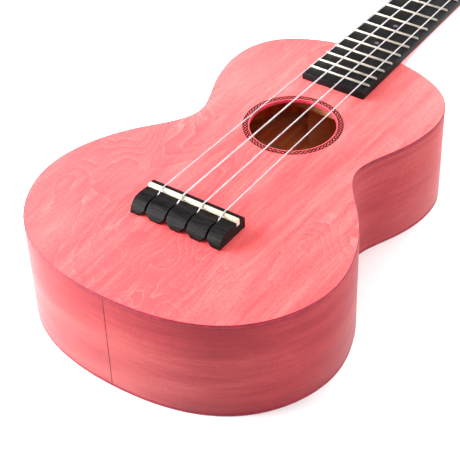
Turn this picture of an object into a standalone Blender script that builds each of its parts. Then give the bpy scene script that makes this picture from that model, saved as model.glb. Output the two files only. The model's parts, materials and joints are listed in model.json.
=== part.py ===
"""A concert ukulele lying on its back, in metres: +Y from the tail to the headstock, +Z up.

The origin is on the surface that the back rests on, under the middle of the overall length.
"""

import math

import bmesh
import bpy
import numpy as np
from mathutils import Vector

# Overall
SCALE_LENGTH = 0.380
SADDLE_FROM_TAIL = 0.080
HEAD_LENGTH = 0.134
OVERALL_LENGTH = SADDLE_FROM_TAIL + SCALE_LENGTH + HEAD_LENGTH
BODY_LENGTH = 0.2723
BODY_DEPTH = 0.0657
GAP = 0.0003
WELD = 0.00001
TOOL_REACH = 0.02

TAIL_Y = -OVERALL_LENGTH / 2
SADDLE_Y = TAIL_Y + SADDLE_FROM_TAIL
NUT_Y = SADDLE_Y + SCALE_LENGTH
JOINT_Y = TAIL_Y + BODY_LENGTH
TOP_Z = BODY_DEPTH

# Soundbox: half width at distances from the tail, along the right half of the outline
HALF_OUTLINE = (
    (0, 0),
    (0.0442, 0.0062),
    (0.0777, 0.0273),
    (0.0951, 0.0634),
    (0.0917, 0.0967),
    (0.0744, 0.1286),
    (0.0555, 0.1586),
    (0.0655, 0.1918),
    (0.0705, 0.2313),
    (0.0531, 0.2581),
    (0, BODY_LENGTH),
)
STEPS_PER_SPAN = 5
PLATE_THICKNESS = 0.0022
SIDE_THICKNESS = 0.0020
SIDE_LOW_Z = PLATE_THICKNESS + GAP
SIDE_HIGH_Z = TOP_Z - PLATE_THICKNESS - GAP
INSIDE_SIDES = SIDE_THICKNESS + GAP
LINING_THICKNESS = 0.0045
LINING_HEIGHT = 0.0065
LINING_END_ROOM = 0.002
INSIDE_LININGS = INSIDE_SIDES + LINING_THICKNESS + GAP
HOLE_RADIUS = 0.0257
HOLE_Y = SADDLE_Y + 0.0985
HOLE_STEPS = 40
BLOCK_HALF_WIDTH = 0.026
NECK_BLOCK_LENGTH = 0.036
TAIL_BLOCK_LENGTH = 0.014
BRACE_WIDTH = 0.008
BRACE_HEIGHT = 0.009
BRACE_REACH = 0.090
UPPER_BRACE_Y = SADDLE_Y + 0.134
LOWER_BRACE_Y = SADDLE_Y + 0.064
BACK_LOWER_BRACE_Y = SADDLE_Y + 0.010
PATCH_HALF_WIDTH = 0.042
PATCH_BACK_Y = SADDLE_Y - 0.027
PATCH_FRONT_Y = SADDLE_Y + 0.017
PATCH_THICKNESS = 0.0020

# Fingerboard, frets and nut
BOARD_END_Y = SADDLE_Y + 0.1425
BOARD_END_HALF = 0.0218
BOARD_NUT_HALF = 0.0173
BOARD_THICKNESS = 0.0045
BOARD_LOW_Z = TOP_Z + GAP
BOARD_TOP_Z = BOARD_LOW_Z + BOARD_THICKNESS
FRET_COUNT = 16
FRET_WIDTH = 0.0015
FRET_HEIGHT = 0.0010
FRET_INSET = 0.0005
TANG_WIDTH = 0.0005
TANG_DEPTH = 0.0016
NUT_LENGTH = 0.005
NUT_FLOOR_Z = TOP_Z + 0.0061
NUT_TOP_Z = TOP_Z + 0.0074

# Neck and headstock
HEEL_LENGTH = 0.048
HEEL_DEPTH = 0.060
HEEL_SWEEP = 4.5
HEEL_INSERT = 0.010
HEEL_RINGS = 11
HEEL_ROUNDNESS = 1.25
SHAFT_ROUNDNESS = 1.65
ROUNDING_RATE = 2.2
SHAFT_RINGS = 4
SHAFT_DEPTH_HEEL = 0.0145
SHAFT_DEPTH_NUT = 0.0130
NECK_RING_POINTS = 17
HEAD_TILT = math.radians(10)
HEAD_THICKNESS = 0.012
HEAD_START_Y = NUT_Y + NUT_LENGTH + 0.0005
HEAD_FACE_LENGTH = (OVERALL_LENGTH / 2 - HEAD_START_Y) / math.cos(HEAD_TILT)
HEAD_ROOT_DROP = 0.0002
# How far past the nut the shaft still shows under the headstock, and its depth there
HEAD_ROOT = ((0, 0.0140), (0.0003, 0.0140), (0.0060, 0.0128), (0.0120, 0.0108))
# Headstock outline, right half: half width and distance from the nut, then from the tip
HEAD_NEAR_NUT = ((0.0182, 0.006), (0.0246, 0.0165), (0.0285, 0.032), (0.0294, 0.070))
HEAD_NEAR_TIP = ((0.0304, 0.024), (0.0262, 0.0085), (0.0120, 0.0015))

# Bridge and saddle, as (distance towards the neck from the saddle line, height over the soundboard)
BRIDGE_HALF_WIDTH = 0.0299
BRIDGE_PROFILE = (
    (-0.0173, GAP),
    (0.0052, GAP),
    (0.0054, 0.0062),
    (0.0030, 0.0086),
    (0.0010, 0.0088),
    (0.0010, 0.0047),
    (-0.0023, 0.0047),
    (-0.0023, 0.0075),
    (-0.0057, 0.0079),
    (-0.0095, 0.0082),
    (-0.0118, 0.0081),
    (-0.0141, 0.0074),
    (-0.0165, 0.0053),
    (-0.0178, 0.0036),
    (-0.0186, 0.0015),
)
SADDLE_HALF_WIDTH = 0.0296
SADDLE_PROFILE = (
    (-0.0020, 0.0050),
    (0.0007, 0.0050),
    (0.0007, 0.0088),
    (0.0002, 0.0093),
    (-0.0015, 0.0093),
    (-0.0020, 0.0088),
)
SADDLE_TOP_Z = TOP_Z + 0.0093
SLOT_WIDTH = 0.0016
SLOT_FRONT = -0.0045
SLOT_BACK = -0.0200
SLOT_FLOOR = 0.0012
POCKET_FRONT = -0.0120
POCKET_HALF_LOW = 0.0033
POCKET_HALF_HIGH = 0.0010
POCKET_HEIGHT = 0.0029

# Strings
STRING_DIAMETERS = {"g": 0.00066, "c": 0.00096, "e": 0.00082, "a": 0.00070}
SADDLE_SPACING = 0.0135
NUT_SPACING = 0.0093
COIL_TURNS = 2.25
COIL_POINTS_PER_TURN = 10
COIL_PITCH = 0.0013
COIL_LOW = 0.0042
# Turning points from the knot to the saddle, as distance from the saddle line and height
KNOT_PLACE = (-0.0155, 0.0022)
SLOT_EXIT = (-0.0063, 0.0077)
SADDLE_BACK = -0.0019
SADDLE_CROWN = 0.0004

# Tuning machines, measured from the headstock's face and from its start at the nut
POST_X = 0.0165
NEAR_POST = 0.040
FAR_POST = 0.084
TUNERS = {"g": (-1, NEAR_POST), "c": (-1, FAR_POST), "e": (1, FAR_POST), "a": (1, NEAR_POST)}
POST_RADIUS = 0.0030
POST_WAIST = 0.0025
POST_TOP = 0.0130
POST_CHAMFER = 0.0008
POST_WAIST_HIGH = 0.0092
POST_WAIST_LOW = 0.0030
POST_WAIST_FLARE = 0.0006
POST_HOLE = 0.0080
POST_HOLE_RADIUS = 0.0007
POST_HOLE_STEPS = 8
POST_STEPS = 16
BORE_RADIUS = 0.0034
MACHINE_PLATE = 0.0009
MACHINE_CORNER = (0.0034, 0.0110)
MACHINE_CORNER_RADIUS = 0.0030
MACHINE_TAIL = (0, -0.0065)
MACHINE_TAIL_RADIUS = 0.0045
MACHINE_PLATE_LOW = -HEAD_THICKNESS - GAP - MACHINE_PLATE
WORM_LEAD = 0.0020
GEAR_TEETH = 14
PITCH_RADIUS = GEAR_TEETH * WORM_LEAD / (2 * math.pi)
GEAR_TIP_RADIUS = 0.0050
GEAR_ROOT_RADIUS = 0.0036
GEAR_THICKNESS = 0.0020
# Half of a tooth and of the root gap on each side of it, as shares of the tooth spacing
TOOTH_TIP_SHARE = 0.12
TOOTH_FOOT_SHARE = 0.28
GEAR_MIDDLE = -0.0163
GEAR_BORE = 0.0023
GEAR_SEAT = 0.0020
WORM_PITCH_RADIUS = 0.0021
WORM_CREST = 0.00265
WORM_ROOT = 0.0014
# Where a flank of the thread ends and how wide it is, as shares of the lead from the crest's middle
WORM_FLANK_END = 0.30
WORM_FLANK = 0.20
WORM_RINGS = 22
WORM_HALF_LENGTH = 0.0036
WORM_OFFSET = PITCH_RADIUS + WORM_PITCH_RADIUS
SHAFT_RADIUS = 0.0015
SHAFT_INNER_END = 0.0066
SHAFT_OUTER_END = 0.0130
EAR_X = 0.0056
EAR_THICKNESS = 0.0012
EAR_HALF = 0.0030
EAR_BORE = 0.0018
BUTTON_RINGS = (
    (0.0133, 0.0026, 0.0026),
    (0.0150, 0.0026, 0.0026),
    (0.0164, 0.0050, 0.0032),
    (0.0190, 0.0074, 0.0040),
    (0.0230, 0.0082, 0.0042),
    (0.0262, 0.0072, 0.0038),
    (0.0280, 0.0046, 0.0024),
)
RING_POINTS = 12


# ---------------------------------------------------------------- scene and materials


def clear_scene():
    for obj in list(bpy.data.objects):
        bpy.data.objects.remove(obj)


def new_collection(name):
    collection = bpy.data.collections.new(name)
    bpy.context.scene.collection.children.link(collection)
    return collection


def material(name, color, roughness, metallic=0.0):
    """One paint per sub-part: a Principled surface."""
    paint = bpy.data.materials.new(name)
    paint.use_nodes = True
    surface = paint.node_tree.nodes["Principled BSDF"]
    surface.inputs["Base Color"].default_value = (*color, 1.0)
    surface.inputs["Roughness"].default_value = roughness
    surface.inputs["Metallic"].default_value = metallic
    return paint


def stained_wood(name):
    return material(name, (0.95, 0.28, 0.27), 0.35)


def raw_wood(name):
    return material(name, (0.45, 0.24, 0.12), 0.7)


def black_wood(name):
    return material(name, (0.02, 0.018, 0.02), 0.4)


def cream_plastic(name):
    return material(name, (0.95, 0.87, 0.70), 0.35)


def clear_nylon(name):
    return material(name, (0.85, 0.84, 0.86), 0.25)


def steel(name):
    return material(name, (0.75, 0.75, 0.76), 0.25, 1.0)


# ---------------------------------------------------------------- shapes


def arc(center, radius, start, end, count):
    """Points on a circle from one angle to another, in degrees, both ends included."""
    angles = np.radians(np.linspace(start, end, count))
    return [(center[0] + radius * math.cos(a), center[1] + radius * math.sin(a)) for a in angles]


def circle(center, radius, count):
    return arc(center, radius, 0, 360, count + 1)[:-1]


def smooth_loop(points, per_span):
    """Points along the periodic cubic spline through the given ones."""
    knots = np.array(points, float)
    count = len(knots)
    after = np.roll(knots, -1, axis=0)
    span = np.sqrt(np.linalg.norm(after - knots, axis=1))
    before = np.roll(span, 1)
    slope = (after - knots) / span[:, None]
    system = np.zeros((count, count))
    for i in range(count):
        system[i, i - 1] = before[i]
        system[i, i] = 2 * (before[i] + span[i])
        system[i, (i + 1) % count] = span[i]
    bend = np.linalg.solve(system, 6 * (slope - np.roll(slope, 1, axis=0)))
    bend_after = np.roll(bend, -1, axis=0)
    loop = []
    for i in range(count):
        for t in np.arange(per_span) / per_span * span[i]:
            rest = span[i] - t
            loop.append(
                (rest**3 * bend[i] + t**3 * bend_after[i]) / (6 * span[i])
                + (knots[i] / span[i] - bend[i] * span[i] / 6) * rest
                + (after[i] / span[i] - bend_after[i] * span[i] / 6) * t
            )
    return np.array(loop)


def body_loop(inset):
    """The soundbox outline from the tail round the right half to the neck and back, moved inwards."""
    right = [(x, TAIL_Y + y) for x, y in HALF_OUTLINE]
    left = [(-x, y) for x, y in reversed(right[1:-1])]
    loop = smooth_loop(right + left, STEPS_PER_SPAN)
    along = np.roll(loop, -1, axis=0) - np.roll(loop, 1, axis=0)
    outward = np.stack([along[:, 1], -along[:, 0]], axis=1)
    return loop - inset * outward / np.linalg.norm(outward, axis=1)[:, None]


def half_loop(inset, side):
    """The right half of the outline, or the left one, ordered so that its outside is on the right hand."""
    loop = body_loop(inset)
    right = loop[: len(loop) // 2 + 1]
    return [(x, y) for x, y in right] if side > 0 else [(-x, y) for x, y in right[::-1]]


def finish(obj, paint=None, parent=None):
    """Puts a new object in the ukulele's collection, with its material and its parent."""
    PARTS.objects.link(obj)
    if paint:
        obj.data.materials.append(paint)
    obj.parent = parent
    return obj


def as_cutter(obj):
    """Keeps the object as a tool for Booleans only."""
    PARTS.objects.unlink(obj)
    CUTTERS.objects.link(obj)
    obj.hide_render = True
    obj.display_type = "WIRE"
    return obj


def mesh_object(name, bm, paint=None, parent=None):
    mesh = bpy.data.meshes.new(name)
    bmesh.ops.recalc_face_normals(bm, faces=bm.faces)
    bm.to_mesh(mesh)
    bm.free()
    return finish(bpy.data.objects.new(name, mesh), paint, parent)


def add_box(bm, low, high):
    """A box between two corners."""
    size = Vector(high) - Vector(low)
    verts = bmesh.ops.create_cube(bm, size=1.0)["verts"]
    bmesh.ops.scale(bm, vec=size, verts=verts)
    bmesh.ops.translate(bm, vec=Vector(low) + size / 2, verts=verts)


def boxes(name, corners, paint=None, parent=None):
    bm = bmesh.new()
    for low, high in corners:
        add_box(bm, low, high)
    return mesh_object(name, bm, paint, parent)


def loft(name, rings, paint=None, parent=None):
    """A closed skin over cross-sections that have the same number of points."""
    bm = bmesh.new()
    loops = [[bm.verts.new(point) for point in ring] for ring in rings]
    for low, high in zip(loops, loops[1:]):
        for i in range(len(low)):
            bm.faces.new((low[i - 1], low[i], high[i], high[i - 1]))
    bm.faces.new(loops[0])
    bm.faces.new(loops[-1])
    return mesh_object(name, bm, paint, parent)


def flat_outline(name, loops, thickness, paint=None, parent=None):
    """A filled flat curve, thickened evenly to both sides of its own XY plane."""
    curve = bpy.data.curves.new(name, "CURVE")
    curve.dimensions = "2D"
    curve.fill_mode = "BOTH"
    curve.extrude = thickness / 2
    for loop in loops:
        spline = curve.splines.new("POLY")
        spline.points.add(len(loop) - 1)
        for point, (x, y) in zip(spline.points, loop):
            point.co = (x, y, 0, 1)
        spline.use_cyclic_u = True
    return finish(bpy.data.objects.new(name, curve), paint, parent)


def plate(name, loops, low, high, paint=None, parent=None):
    """A flat outline between two heights."""
    obj = flat_outline(name, loops, high - low, paint, parent)
    obj.location.z = (low + high) / 2
    return obj


def crosswise(name, loops, thickness, paint=None, parent=None):
    """A flat outline drawn in the YZ plane and thickened along X."""
    obj = flat_outline(name, loops, thickness, paint, parent)
    obj.rotation_euler = (math.pi / 2, 0, math.pi / 2)
    return obj


def as_mesh(obj):
    """The curve object made a mesh with its caps welded on, ready to be cut or joined."""
    bpy.context.view_layer.update()
    graph = bpy.context.evaluated_depsgraph_get()
    mesh = bpy.data.meshes.new_from_object(obj.evaluated_get(graph))
    bm = bmesh.new()
    bm.from_mesh(mesh)
    bmesh.ops.remove_doubles(bm, verts=bm.verts, dist=WELD)
    bm.to_mesh(mesh)
    bm.free()
    name, place, parent = obj.name, obj.matrix_world.copy(), obj.parent
    bpy.data.objects.remove(obj)
    solid = finish(bpy.data.objects.new(name, mesh), parent=parent)
    solid.matrix_world = place
    return solid


def combine(obj, tool, operation):
    modifier = obj.modifiers.new(tool.name, "BOOLEAN")
    modifier.operation = operation
    modifier.object = tool
    return obj


def turned(name, profile, paint=None, parent=None):
    """A solid of revolution about Z, its profile given top to bottom as (radius, height)."""
    bm = bmesh.new()
    verts = [bm.verts.new((radius, 0, height)) for radius, height in profile]
    for upper, lower in zip(verts, verts[1:]):
        bm.edges.new((upper, lower))
    mesh = bpy.data.meshes.new(name)
    bm.to_mesh(mesh)
    bm.free()
    obj = finish(bpy.data.objects.new(name, mesh), paint, parent)
    screw = obj.modifiers.new("turn", "SCREW")
    screw.steps = POST_STEPS
    screw.render_steps = POST_STEPS
    screw.use_merge_vertices = True
    screw.merge_threshold = WELD
    screw.use_smooth_shade = True
    return obj


def tube(name, points, diameter, paint):
    """A wire along the points, with closed ends."""
    curve = bpy.data.curves.new(name, "CURVE")
    curve.dimensions = "3D"
    curve.bevel_depth = diameter / 2
    curve.bevel_resolution = 2
    curve.use_fill_caps = True
    spline = curve.splines.new("POLY")
    spline.points.add(len(points) - 1)
    for point, place in zip(spline.points, points):
        point.co = (*place, 1)
    return finish(bpy.data.objects.new(name, curve), paint)


def empty(name, location, parent=None):
    obj = finish(bpy.data.objects.new(name, None), parent=parent)
    obj.location = location
    return obj


# ---------------------------------------------------------------- soundbox


def soundboard():
    loops = [body_loop(0), circle((0, HOLE_Y), HOLE_RADIUS, HOLE_STEPS)]
    plate("soundboard", loops, TOP_Z - PLATE_THICKNESS, TOP_Z, stained_wood("soundboard"))


def back_plate():
    plate("back_plate", [body_loop(0)], 0, PLATE_THICKNESS, stained_wood("back_plate"))


def bent_strip(name, points, low, high, thickness, paint):
    """A strip standing on edge along the points, thickened away from its outer face."""
    bm = bmesh.new()
    lower = [bm.verts.new((x, y, low)) for x, y in points]
    upper = [bm.verts.new((x, y, high)) for x, y in points]
    for i in range(len(points) - 1):
        bm.faces.new((lower[i], lower[i + 1], upper[i + 1], upper[i]))
    mesh = bpy.data.meshes.new(name)
    bm.to_mesh(mesh)
    bm.free()
    obj = finish(bpy.data.objects.new(name, mesh), paint)
    shell = obj.modifiers.new("thickness", "SOLIDIFY")
    shell.thickness = thickness
    shell.offset = -1
    return obj


def side_panels():
    """Two bent panels that meet in a seam at the tail and behind the heel."""
    for name, side in (("side_left", -1), ("side_right", 1)):
        points = half_loop(0, side)
        points[0] = (side * GAP / 2, points[0][1])
        points[-1] = (side * GAP / 2, points[-1][1])
        bent_strip(name, points, SIDE_LOW_Z, SIDE_HIGH_Z, SIDE_THICKNESS, stained_wood(name))


def linings():
    """Strips that widen the glued edge of the sides, from the tail block to the neck block."""
    for level, low in (("back", SIDE_LOW_Z), ("soundboard", SIDE_HIGH_Z - LINING_HEIGHT)):
        for hand, side in (("left", -1), ("right", 1)):
            name = f"{level}_lining_{hand}"
            ends = BLOCK_HALF_WIDTH + LINING_END_ROOM
            points = [p for p in half_loop(INSIDE_SIDES, side) if abs(p[0]) > ends]
            bent_strip(name, points, low, low + LINING_HEIGHT, LINING_THICKNESS, raw_wood(name))


def inside_shape(name, inset):
    """The space inside the soundbox, as a tool that trims the pieces in it."""
    outline = plate(name, [body_loop(inset)], -BODY_DEPTH, 2 * BODY_DEPTH)
    return as_cutter(as_mesh(outline))


def inner_blocks():
    inside = inside_shape("inside_the_sides", INSIDE_SIDES)
    for name, low, high in (
        ("neck_block", JOINT_Y - NECK_BLOCK_LENGTH, JOINT_Y),
        ("tail_block", TAIL_Y, TAIL_Y + TAIL_BLOCK_LENGTH),
    ):
        corners = ((-BLOCK_HALF_WIDTH, low, SIDE_LOW_Z), (BLOCK_HALF_WIDTH, high, SIDE_HIGH_Z))
        block = boxes(name, [corners], raw_wood(name))
        combine(block, inside, "INTERSECT")


def braces():
    inside = inside_shape("inside_the_linings", INSIDE_LININGS)
    for name, y, low in (
        ("soundboard_brace_upper", UPPER_BRACE_Y, SIDE_HIGH_Z - BRACE_HEIGHT),
        ("soundboard_brace_lower", LOWER_BRACE_Y, SIDE_HIGH_Z - BRACE_HEIGHT),
        ("back_brace_upper", UPPER_BRACE_Y, SIDE_LOW_Z),
        ("back_brace_lower", BACK_LOWER_BRACE_Y, SIDE_LOW_Z),
    ):
        corners = (
            (-BRACE_REACH, y - BRACE_WIDTH / 2, low),
            (BRACE_REACH, y + BRACE_WIDTH / 2, low + BRACE_HEIGHT),
        )
        brace = boxes(name, [corners], raw_wood(name))
        combine(brace, inside, "INTERSECT")


def bridge_patch():
    low = (-PATCH_HALF_WIDTH, PATCH_BACK_Y, SIDE_HIGH_Z - PATCH_THICKNESS)
    high = (PATCH_HALF_WIDTH, PATCH_FRONT_Y, SIDE_HIGH_Z)
    boxes("bridge_patch", [(low, high)], raw_wood("bridge_patch"))


# ---------------------------------------------------------------- bridge and saddle


def over_soundboard(profile):
    """A profile given from the saddle line and the soundboard, in world Y and Z."""
    return [(SADDLE_Y + y, TOP_Z + z) for y, z in profile]


def string_x(index, spacing):
    """Across the four strings, from the left-hand one."""
    return (index - 1.5) * spacing


def bridge():
    body = crosswise(
        "bridge", [over_soundboard(BRIDGE_PROFILE)], 2 * BRIDGE_HALF_WIDTH, black_wood("bridge")
    )
    body = as_mesh(body)
    slots = []
    pockets = bmesh.new()
    for index in range(len(STRING_DIAMETERS)):
        x = string_x(index, SADDLE_SPACING)
        slots.append(
            (
                (x - SLOT_WIDTH / 2, SADDLE_Y + SLOT_BACK, TOP_Z + SLOT_FLOOR),
                (x + SLOT_WIDTH / 2, SADDLE_Y + SLOT_FRONT, TOP_Z + TOOL_REACH),
            )
        )
        add_pocket(pockets, x)
    slot_tool = as_cutter(boxes("bridge_slots", slots))
    pocket_tool = as_cutter(mesh_object("bridge_pockets", pockets))
    combine(body, pocket_tool, "DIFFERENCE")
    combine(body, slot_tool, "DIFFERENCE")


def add_pocket(bm, x):
    """A knot pocket under one slot: a box whose upper edges are drawn together."""
    low = Vector((x - POCKET_HALF_LOW, SADDLE_Y + SLOT_BACK, TOP_Z - GAP))
    high = Vector((x + POCKET_HALF_LOW, SADDLE_Y + POCKET_FRONT, TOP_Z + POCKET_HEIGHT))
    known = set(bm.verts)
    add_box(bm, low, high)
    for vert in set(bm.verts) - known:
        if vert.co.z > TOP_Z:
            vert.co.x = x + math.copysign(POCKET_HALF_HIGH, vert.co.x - x)


def saddle():
    crosswise(
        "saddle", [over_soundboard(SADDLE_PROFILE)], 2 * SADDLE_HALF_WIDTH, cream_plastic("saddle")
    )


# ---------------------------------------------------------------- neck, fingerboard, frets, nut


def board_half(y):
    """Half the fingerboard's width at a place along it."""
    along = (y - BOARD_END_Y) / (NUT_Y - BOARD_END_Y)
    return BOARD_END_HALF + (BOARD_NUT_HALF - BOARD_END_HALF) * along


def fret_y(number):
    return SADDLE_Y + SCALE_LENGTH * 2 ** (-number / 12)


def fingerboard():
    near, far = BOARD_END_Y, NUT_Y - GAP
    corners = [
        (-board_half(near), near),
        (board_half(near), near),
        (board_half(far), far),
        (-board_half(far), far),
    ]
    board = plate("fingerboard", [corners], BOARD_LOW_Z, BOARD_TOP_Z, black_wood("fingerboard"))
    board = as_mesh(board)
    half = TANG_WIDTH / 2 + GAP
    low = BOARD_TOP_Z - TANG_DEPTH - GAP
    reach = BOARD_END_HALF + GAP
    slots = [
        ((-reach, fret_y(n) - half, low), (reach, fret_y(n) + half, BOARD_TOP_Z + FRET_HEIGHT))
        for n in range(1, FRET_COUNT + 1)
    ]
    combine(board, as_cutter(boxes("fret_slots", slots)), "DIFFERENCE")


def frets():
    """Each fret is a rounded crown on the board and a tang in its slot."""
    paint = steel("fret")
    half_tang = TANG_WIDTH / 2
    crown = [(FRET_WIDTH / 2 * x, FRET_HEIGHT * z) for x, z in arc((0, 0), 1, 0, 180, 7)]
    tang = [(-half_tang, 0), (-half_tang, -TANG_DEPTH), (half_tang, -TANG_DEPTH), (half_tang, 0)]
    for number in range(1, FRET_COUNT + 1):
        length = 2 * (board_half(fret_y(number)) - FRET_INSET)
        fret = crosswise(f"fret_{number:02d}", [crown + tang], length, paint)
        fret.location = (0, fret_y(number), BOARD_TOP_Z + GAP)


def nut():
    low = (-BOARD_NUT_HALF, NUT_Y, BOARD_LOW_Z)
    high = (BOARD_NUT_HALF, NUT_Y + NUT_LENGTH, NUT_TOP_Z)
    body = boxes("nut", [(low, high)], cream_plastic("nut"))
    slots = []
    for index in range(len(STRING_DIAMETERS)):
        x = string_x(index, NUT_SPACING)
        slots.append(
            (
                (x - SLOT_WIDTH / 2, NUT_Y - NUT_LENGTH, NUT_FLOOR_Z),
                (x + SLOT_WIDTH / 2, NUT_Y + 2 * NUT_LENGTH, NUT_TOP_Z + TOOL_REACH),
            )
        )
    combine(body, as_cutter(boxes("nut_slots", slots)), "DIFFERENCE")


def neck_ring(y, half, depth, top, roundness):
    """A cross-section of the neck: flat on top, rounded below between a wedge (1) and an ellipse (2)."""
    power = 2 / roundness
    below = arc((0, 0), 1, 0, 180, NECK_RING_POINTS)
    return [
        (half * math.copysign(abs(x) ** power, x), y, top - depth * max(z, 0) ** power)
        for x, z in below
    ]


def neck_rings():
    """Cross-sections from inside the heel's seat to inside the headstock."""
    half = board_half(JOINT_Y)
    rings = [neck_ring(JOINT_Y - HEEL_INSERT, half, HEEL_DEPTH, TOP_Z, HEEL_ROUNDNESS)]
    for t in np.linspace(0, 1, HEEL_RINGS):
        y = JOINT_Y + t * HEEL_LENGTH
        depth = SHAFT_DEPTH_HEEL + (HEEL_DEPTH - SHAFT_DEPTH_HEEL) * (1 - t) ** HEEL_SWEEP
        share = min(ROUNDING_RATE * t, 1)
        roundness = HEEL_ROUNDNESS + (SHAFT_ROUNDNESS - HEEL_ROUNDNESS) * share
        rings.append(neck_ring(y, board_half(y), depth, TOP_Z, roundness))
    for t in np.linspace(0, 1, SHAFT_RINGS)[1:]:
        y = JOINT_Y + HEEL_LENGTH + t * (NUT_Y - JOINT_Y - HEEL_LENGTH)
        depth = SHAFT_DEPTH_HEEL + (SHAFT_DEPTH_NUT - SHAFT_DEPTH_HEEL) * t
        rings.append(neck_ring(y, board_half(y), depth, TOP_Z, SHAFT_ROUNDNESS))
    for past, depth in HEAD_ROOT:
        top = TOP_Z - past * math.tan(HEAD_TILT) - (HEAD_ROOT_DROP if past else 0)
        rings.append(neck_ring(HEAD_START_Y + past, BOARD_NUT_HALF, depth, top, SHAFT_ROUNDNESS))
    return rings


def head_outline():
    """The headstock seen from the front, as (half width, distance from its start)."""
    right = list(HEAD_NEAR_NUT) + [(x, HEAD_FACE_LENGTH - y) for x, y in HEAD_NEAR_TIP]
    middle = [(0, HEAD_FACE_LENGTH)]
    left = [(-x, y) for x, y in reversed(right)]
    return [(BOARD_NUT_HALF, 0)], right + middle + left, [(-BOARD_NUT_HALF, 0)]


def head_blank(head):
    """The headstock's plate, drawn as a smooth outline with two corners at the nut."""
    curve = bpy.data.curves.new("head_blank", "CURVE")
    curve.dimensions = "2D"
    curve.fill_mode = "BOTH"
    curve.extrude = HEAD_THICKNESS / 2
    curve.resolution_u = 4
    first, smooth, last = head_outline()
    spline = curve.splines.new("BEZIER")
    spline.bezier_points.add(len(smooth) + 1)
    for point, (x, y) in zip(spline.bezier_points, first + smooth + last):
        kind = "AUTO" if (x, y) in smooth else "VECTOR"
        point.co = (x, y, 0)
        point.handle_left_type = kind
        point.handle_right_type = kind
    spline.use_cyclic_u = True
    blank = finish(bpy.data.objects.new("head_blank", curve), parent=head)
    blank.location.z = -HEAD_THICKNESS / 2
    return as_cutter(as_mesh(blank))


def neck(head):
    """Shaft, heel and headstock in one piece, with a bore for each string post."""
    body = loft("neck", neck_rings(), stained_wood("neck"))
    seat = plate("heel_seat", [body_loop(-GAP)], -BODY_DEPTH, 2 * BODY_DEPTH)
    combine(body, as_cutter(as_mesh(seat)), "DIFFERENCE")
    combine(body, head_blank(head), "UNION")
    for name, (side, along) in TUNERS.items():
        bore = circle((side * POST_X, along), BORE_RADIUS, POST_STEPS)
        drill = plate(f"bore_{name}", [bore], -2 * HEAD_THICKNESS, HEAD_THICKNESS, parent=head)
        combine(body, as_cutter(as_mesh(drill)), "DIFFERENCE")


# ---------------------------------------------------------------- strings


def on_head(x, along, out):
    """World place of a point given across, along and out from the headstock's face."""
    cos, sin = math.cos(HEAD_TILT), math.sin(HEAD_TILT)
    return (x, HEAD_START_Y + along * cos + out * sin, TOP_Z - along * sin + out * cos)


def coil(name, radius, nut_x):
    """The turns round a post, from where the string meets it, along the headstock's face."""
    side, along = TUNERS[name]
    center = np.array((side * POST_X, along))
    away = np.array((nut_x, 0)) - center
    first = math.atan2(away[1], away[0]) - side * math.acos(radius / np.linalg.norm(away))
    count = int(COIL_TURNS * COIL_POINTS_PER_TURN)
    points = []
    for turn in np.arange(count + 1) / COIL_POINTS_PER_TURN:
        angle = first - side * turn * 2 * math.pi
        x, y = center + radius * np.array((math.cos(angle), math.sin(angle)))
        points.append(on_head(x, y, COIL_LOW + COIL_PITCH * turn))
    return points


def strings():
    """Each string runs from its knot over the saddle and the nut to the turns on its post."""
    for index, (name, diameter) in enumerate(STRING_DIAMETERS.items()):
        saddle_x = string_x(index, SADDLE_SPACING)
        nut_x = string_x(index, NUT_SPACING)
        clear = GAP + diameter / 2
        route = [
            (saddle_x, SADDLE_Y + KNOT_PLACE[0], TOP_Z + KNOT_PLACE[1]),
            (saddle_x, SADDLE_Y + SLOT_EXIT[0], TOP_Z + SLOT_EXIT[1]),
            (saddle_x, SADDLE_Y + SADDLE_BACK, SADDLE_TOP_Z + clear),
            (saddle_x, SADDLE_Y + SADDLE_CROWN, SADDLE_TOP_Z + clear),
            (nut_x, NUT_Y, NUT_FLOOR_Z + GAP / 2 + clear),
            (nut_x, NUT_Y + NUT_LENGTH, NUT_FLOOR_Z + clear),
        ]
        route += coil(name, POST_WAIST + clear, nut_x)
        tube(f"string_{name}", route, diameter, clear_nylon(f"string_{name}"))


# ---------------------------------------------------------------- tuning machines


def machine_plate(name, frame):
    """The plate on the back of the headstock, with two ears that carry the worm shaft."""
    low, high = MACHINE_PLATE_LOW, MACHINE_PLATE_LOW + MACHINE_PLATE
    x, y = MACHINE_CORNER
    corners = arc((x, y), MACHINE_CORNER_RADIUS, 0, 90, 4)
    corners += arc((-x, y), MACHINE_CORNER_RADIUS, 90, 180, 4)
    corners += arc(MACHINE_TAIL, MACHINE_TAIL_RADIUS, 180, 360, 9)
    hole = circle((0, 0), BORE_RADIUS, POST_STEPS)
    body = as_mesh(plate(f"tuner_{name}_plate", [corners, hole], low, high, parent=frame))
    body.data.materials.append(steel(f"tuner_{name}_plate"))
    top = high - MACHINE_PLATE / 3
    tab = [(WORM_OFFSET + EAR_HALF, top), (WORM_OFFSET - EAR_HALF, top)]
    tab += arc((WORM_OFFSET, GEAR_MIDDLE), EAR_HALF, 180, 360, 9)
    bearing = circle((WORM_OFFSET, GEAR_MIDDLE), EAR_BORE, POST_STEPS)
    for hand, x in (("inner", -EAR_X), ("outer", EAR_X)):
        ear = crosswise(f"ear_{name}_{hand}", [tab, bearing], EAR_THICKNESS, parent=frame)
        ear.location.x = x
        combine(body, as_cutter(as_mesh(ear)), "UNION")


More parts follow.
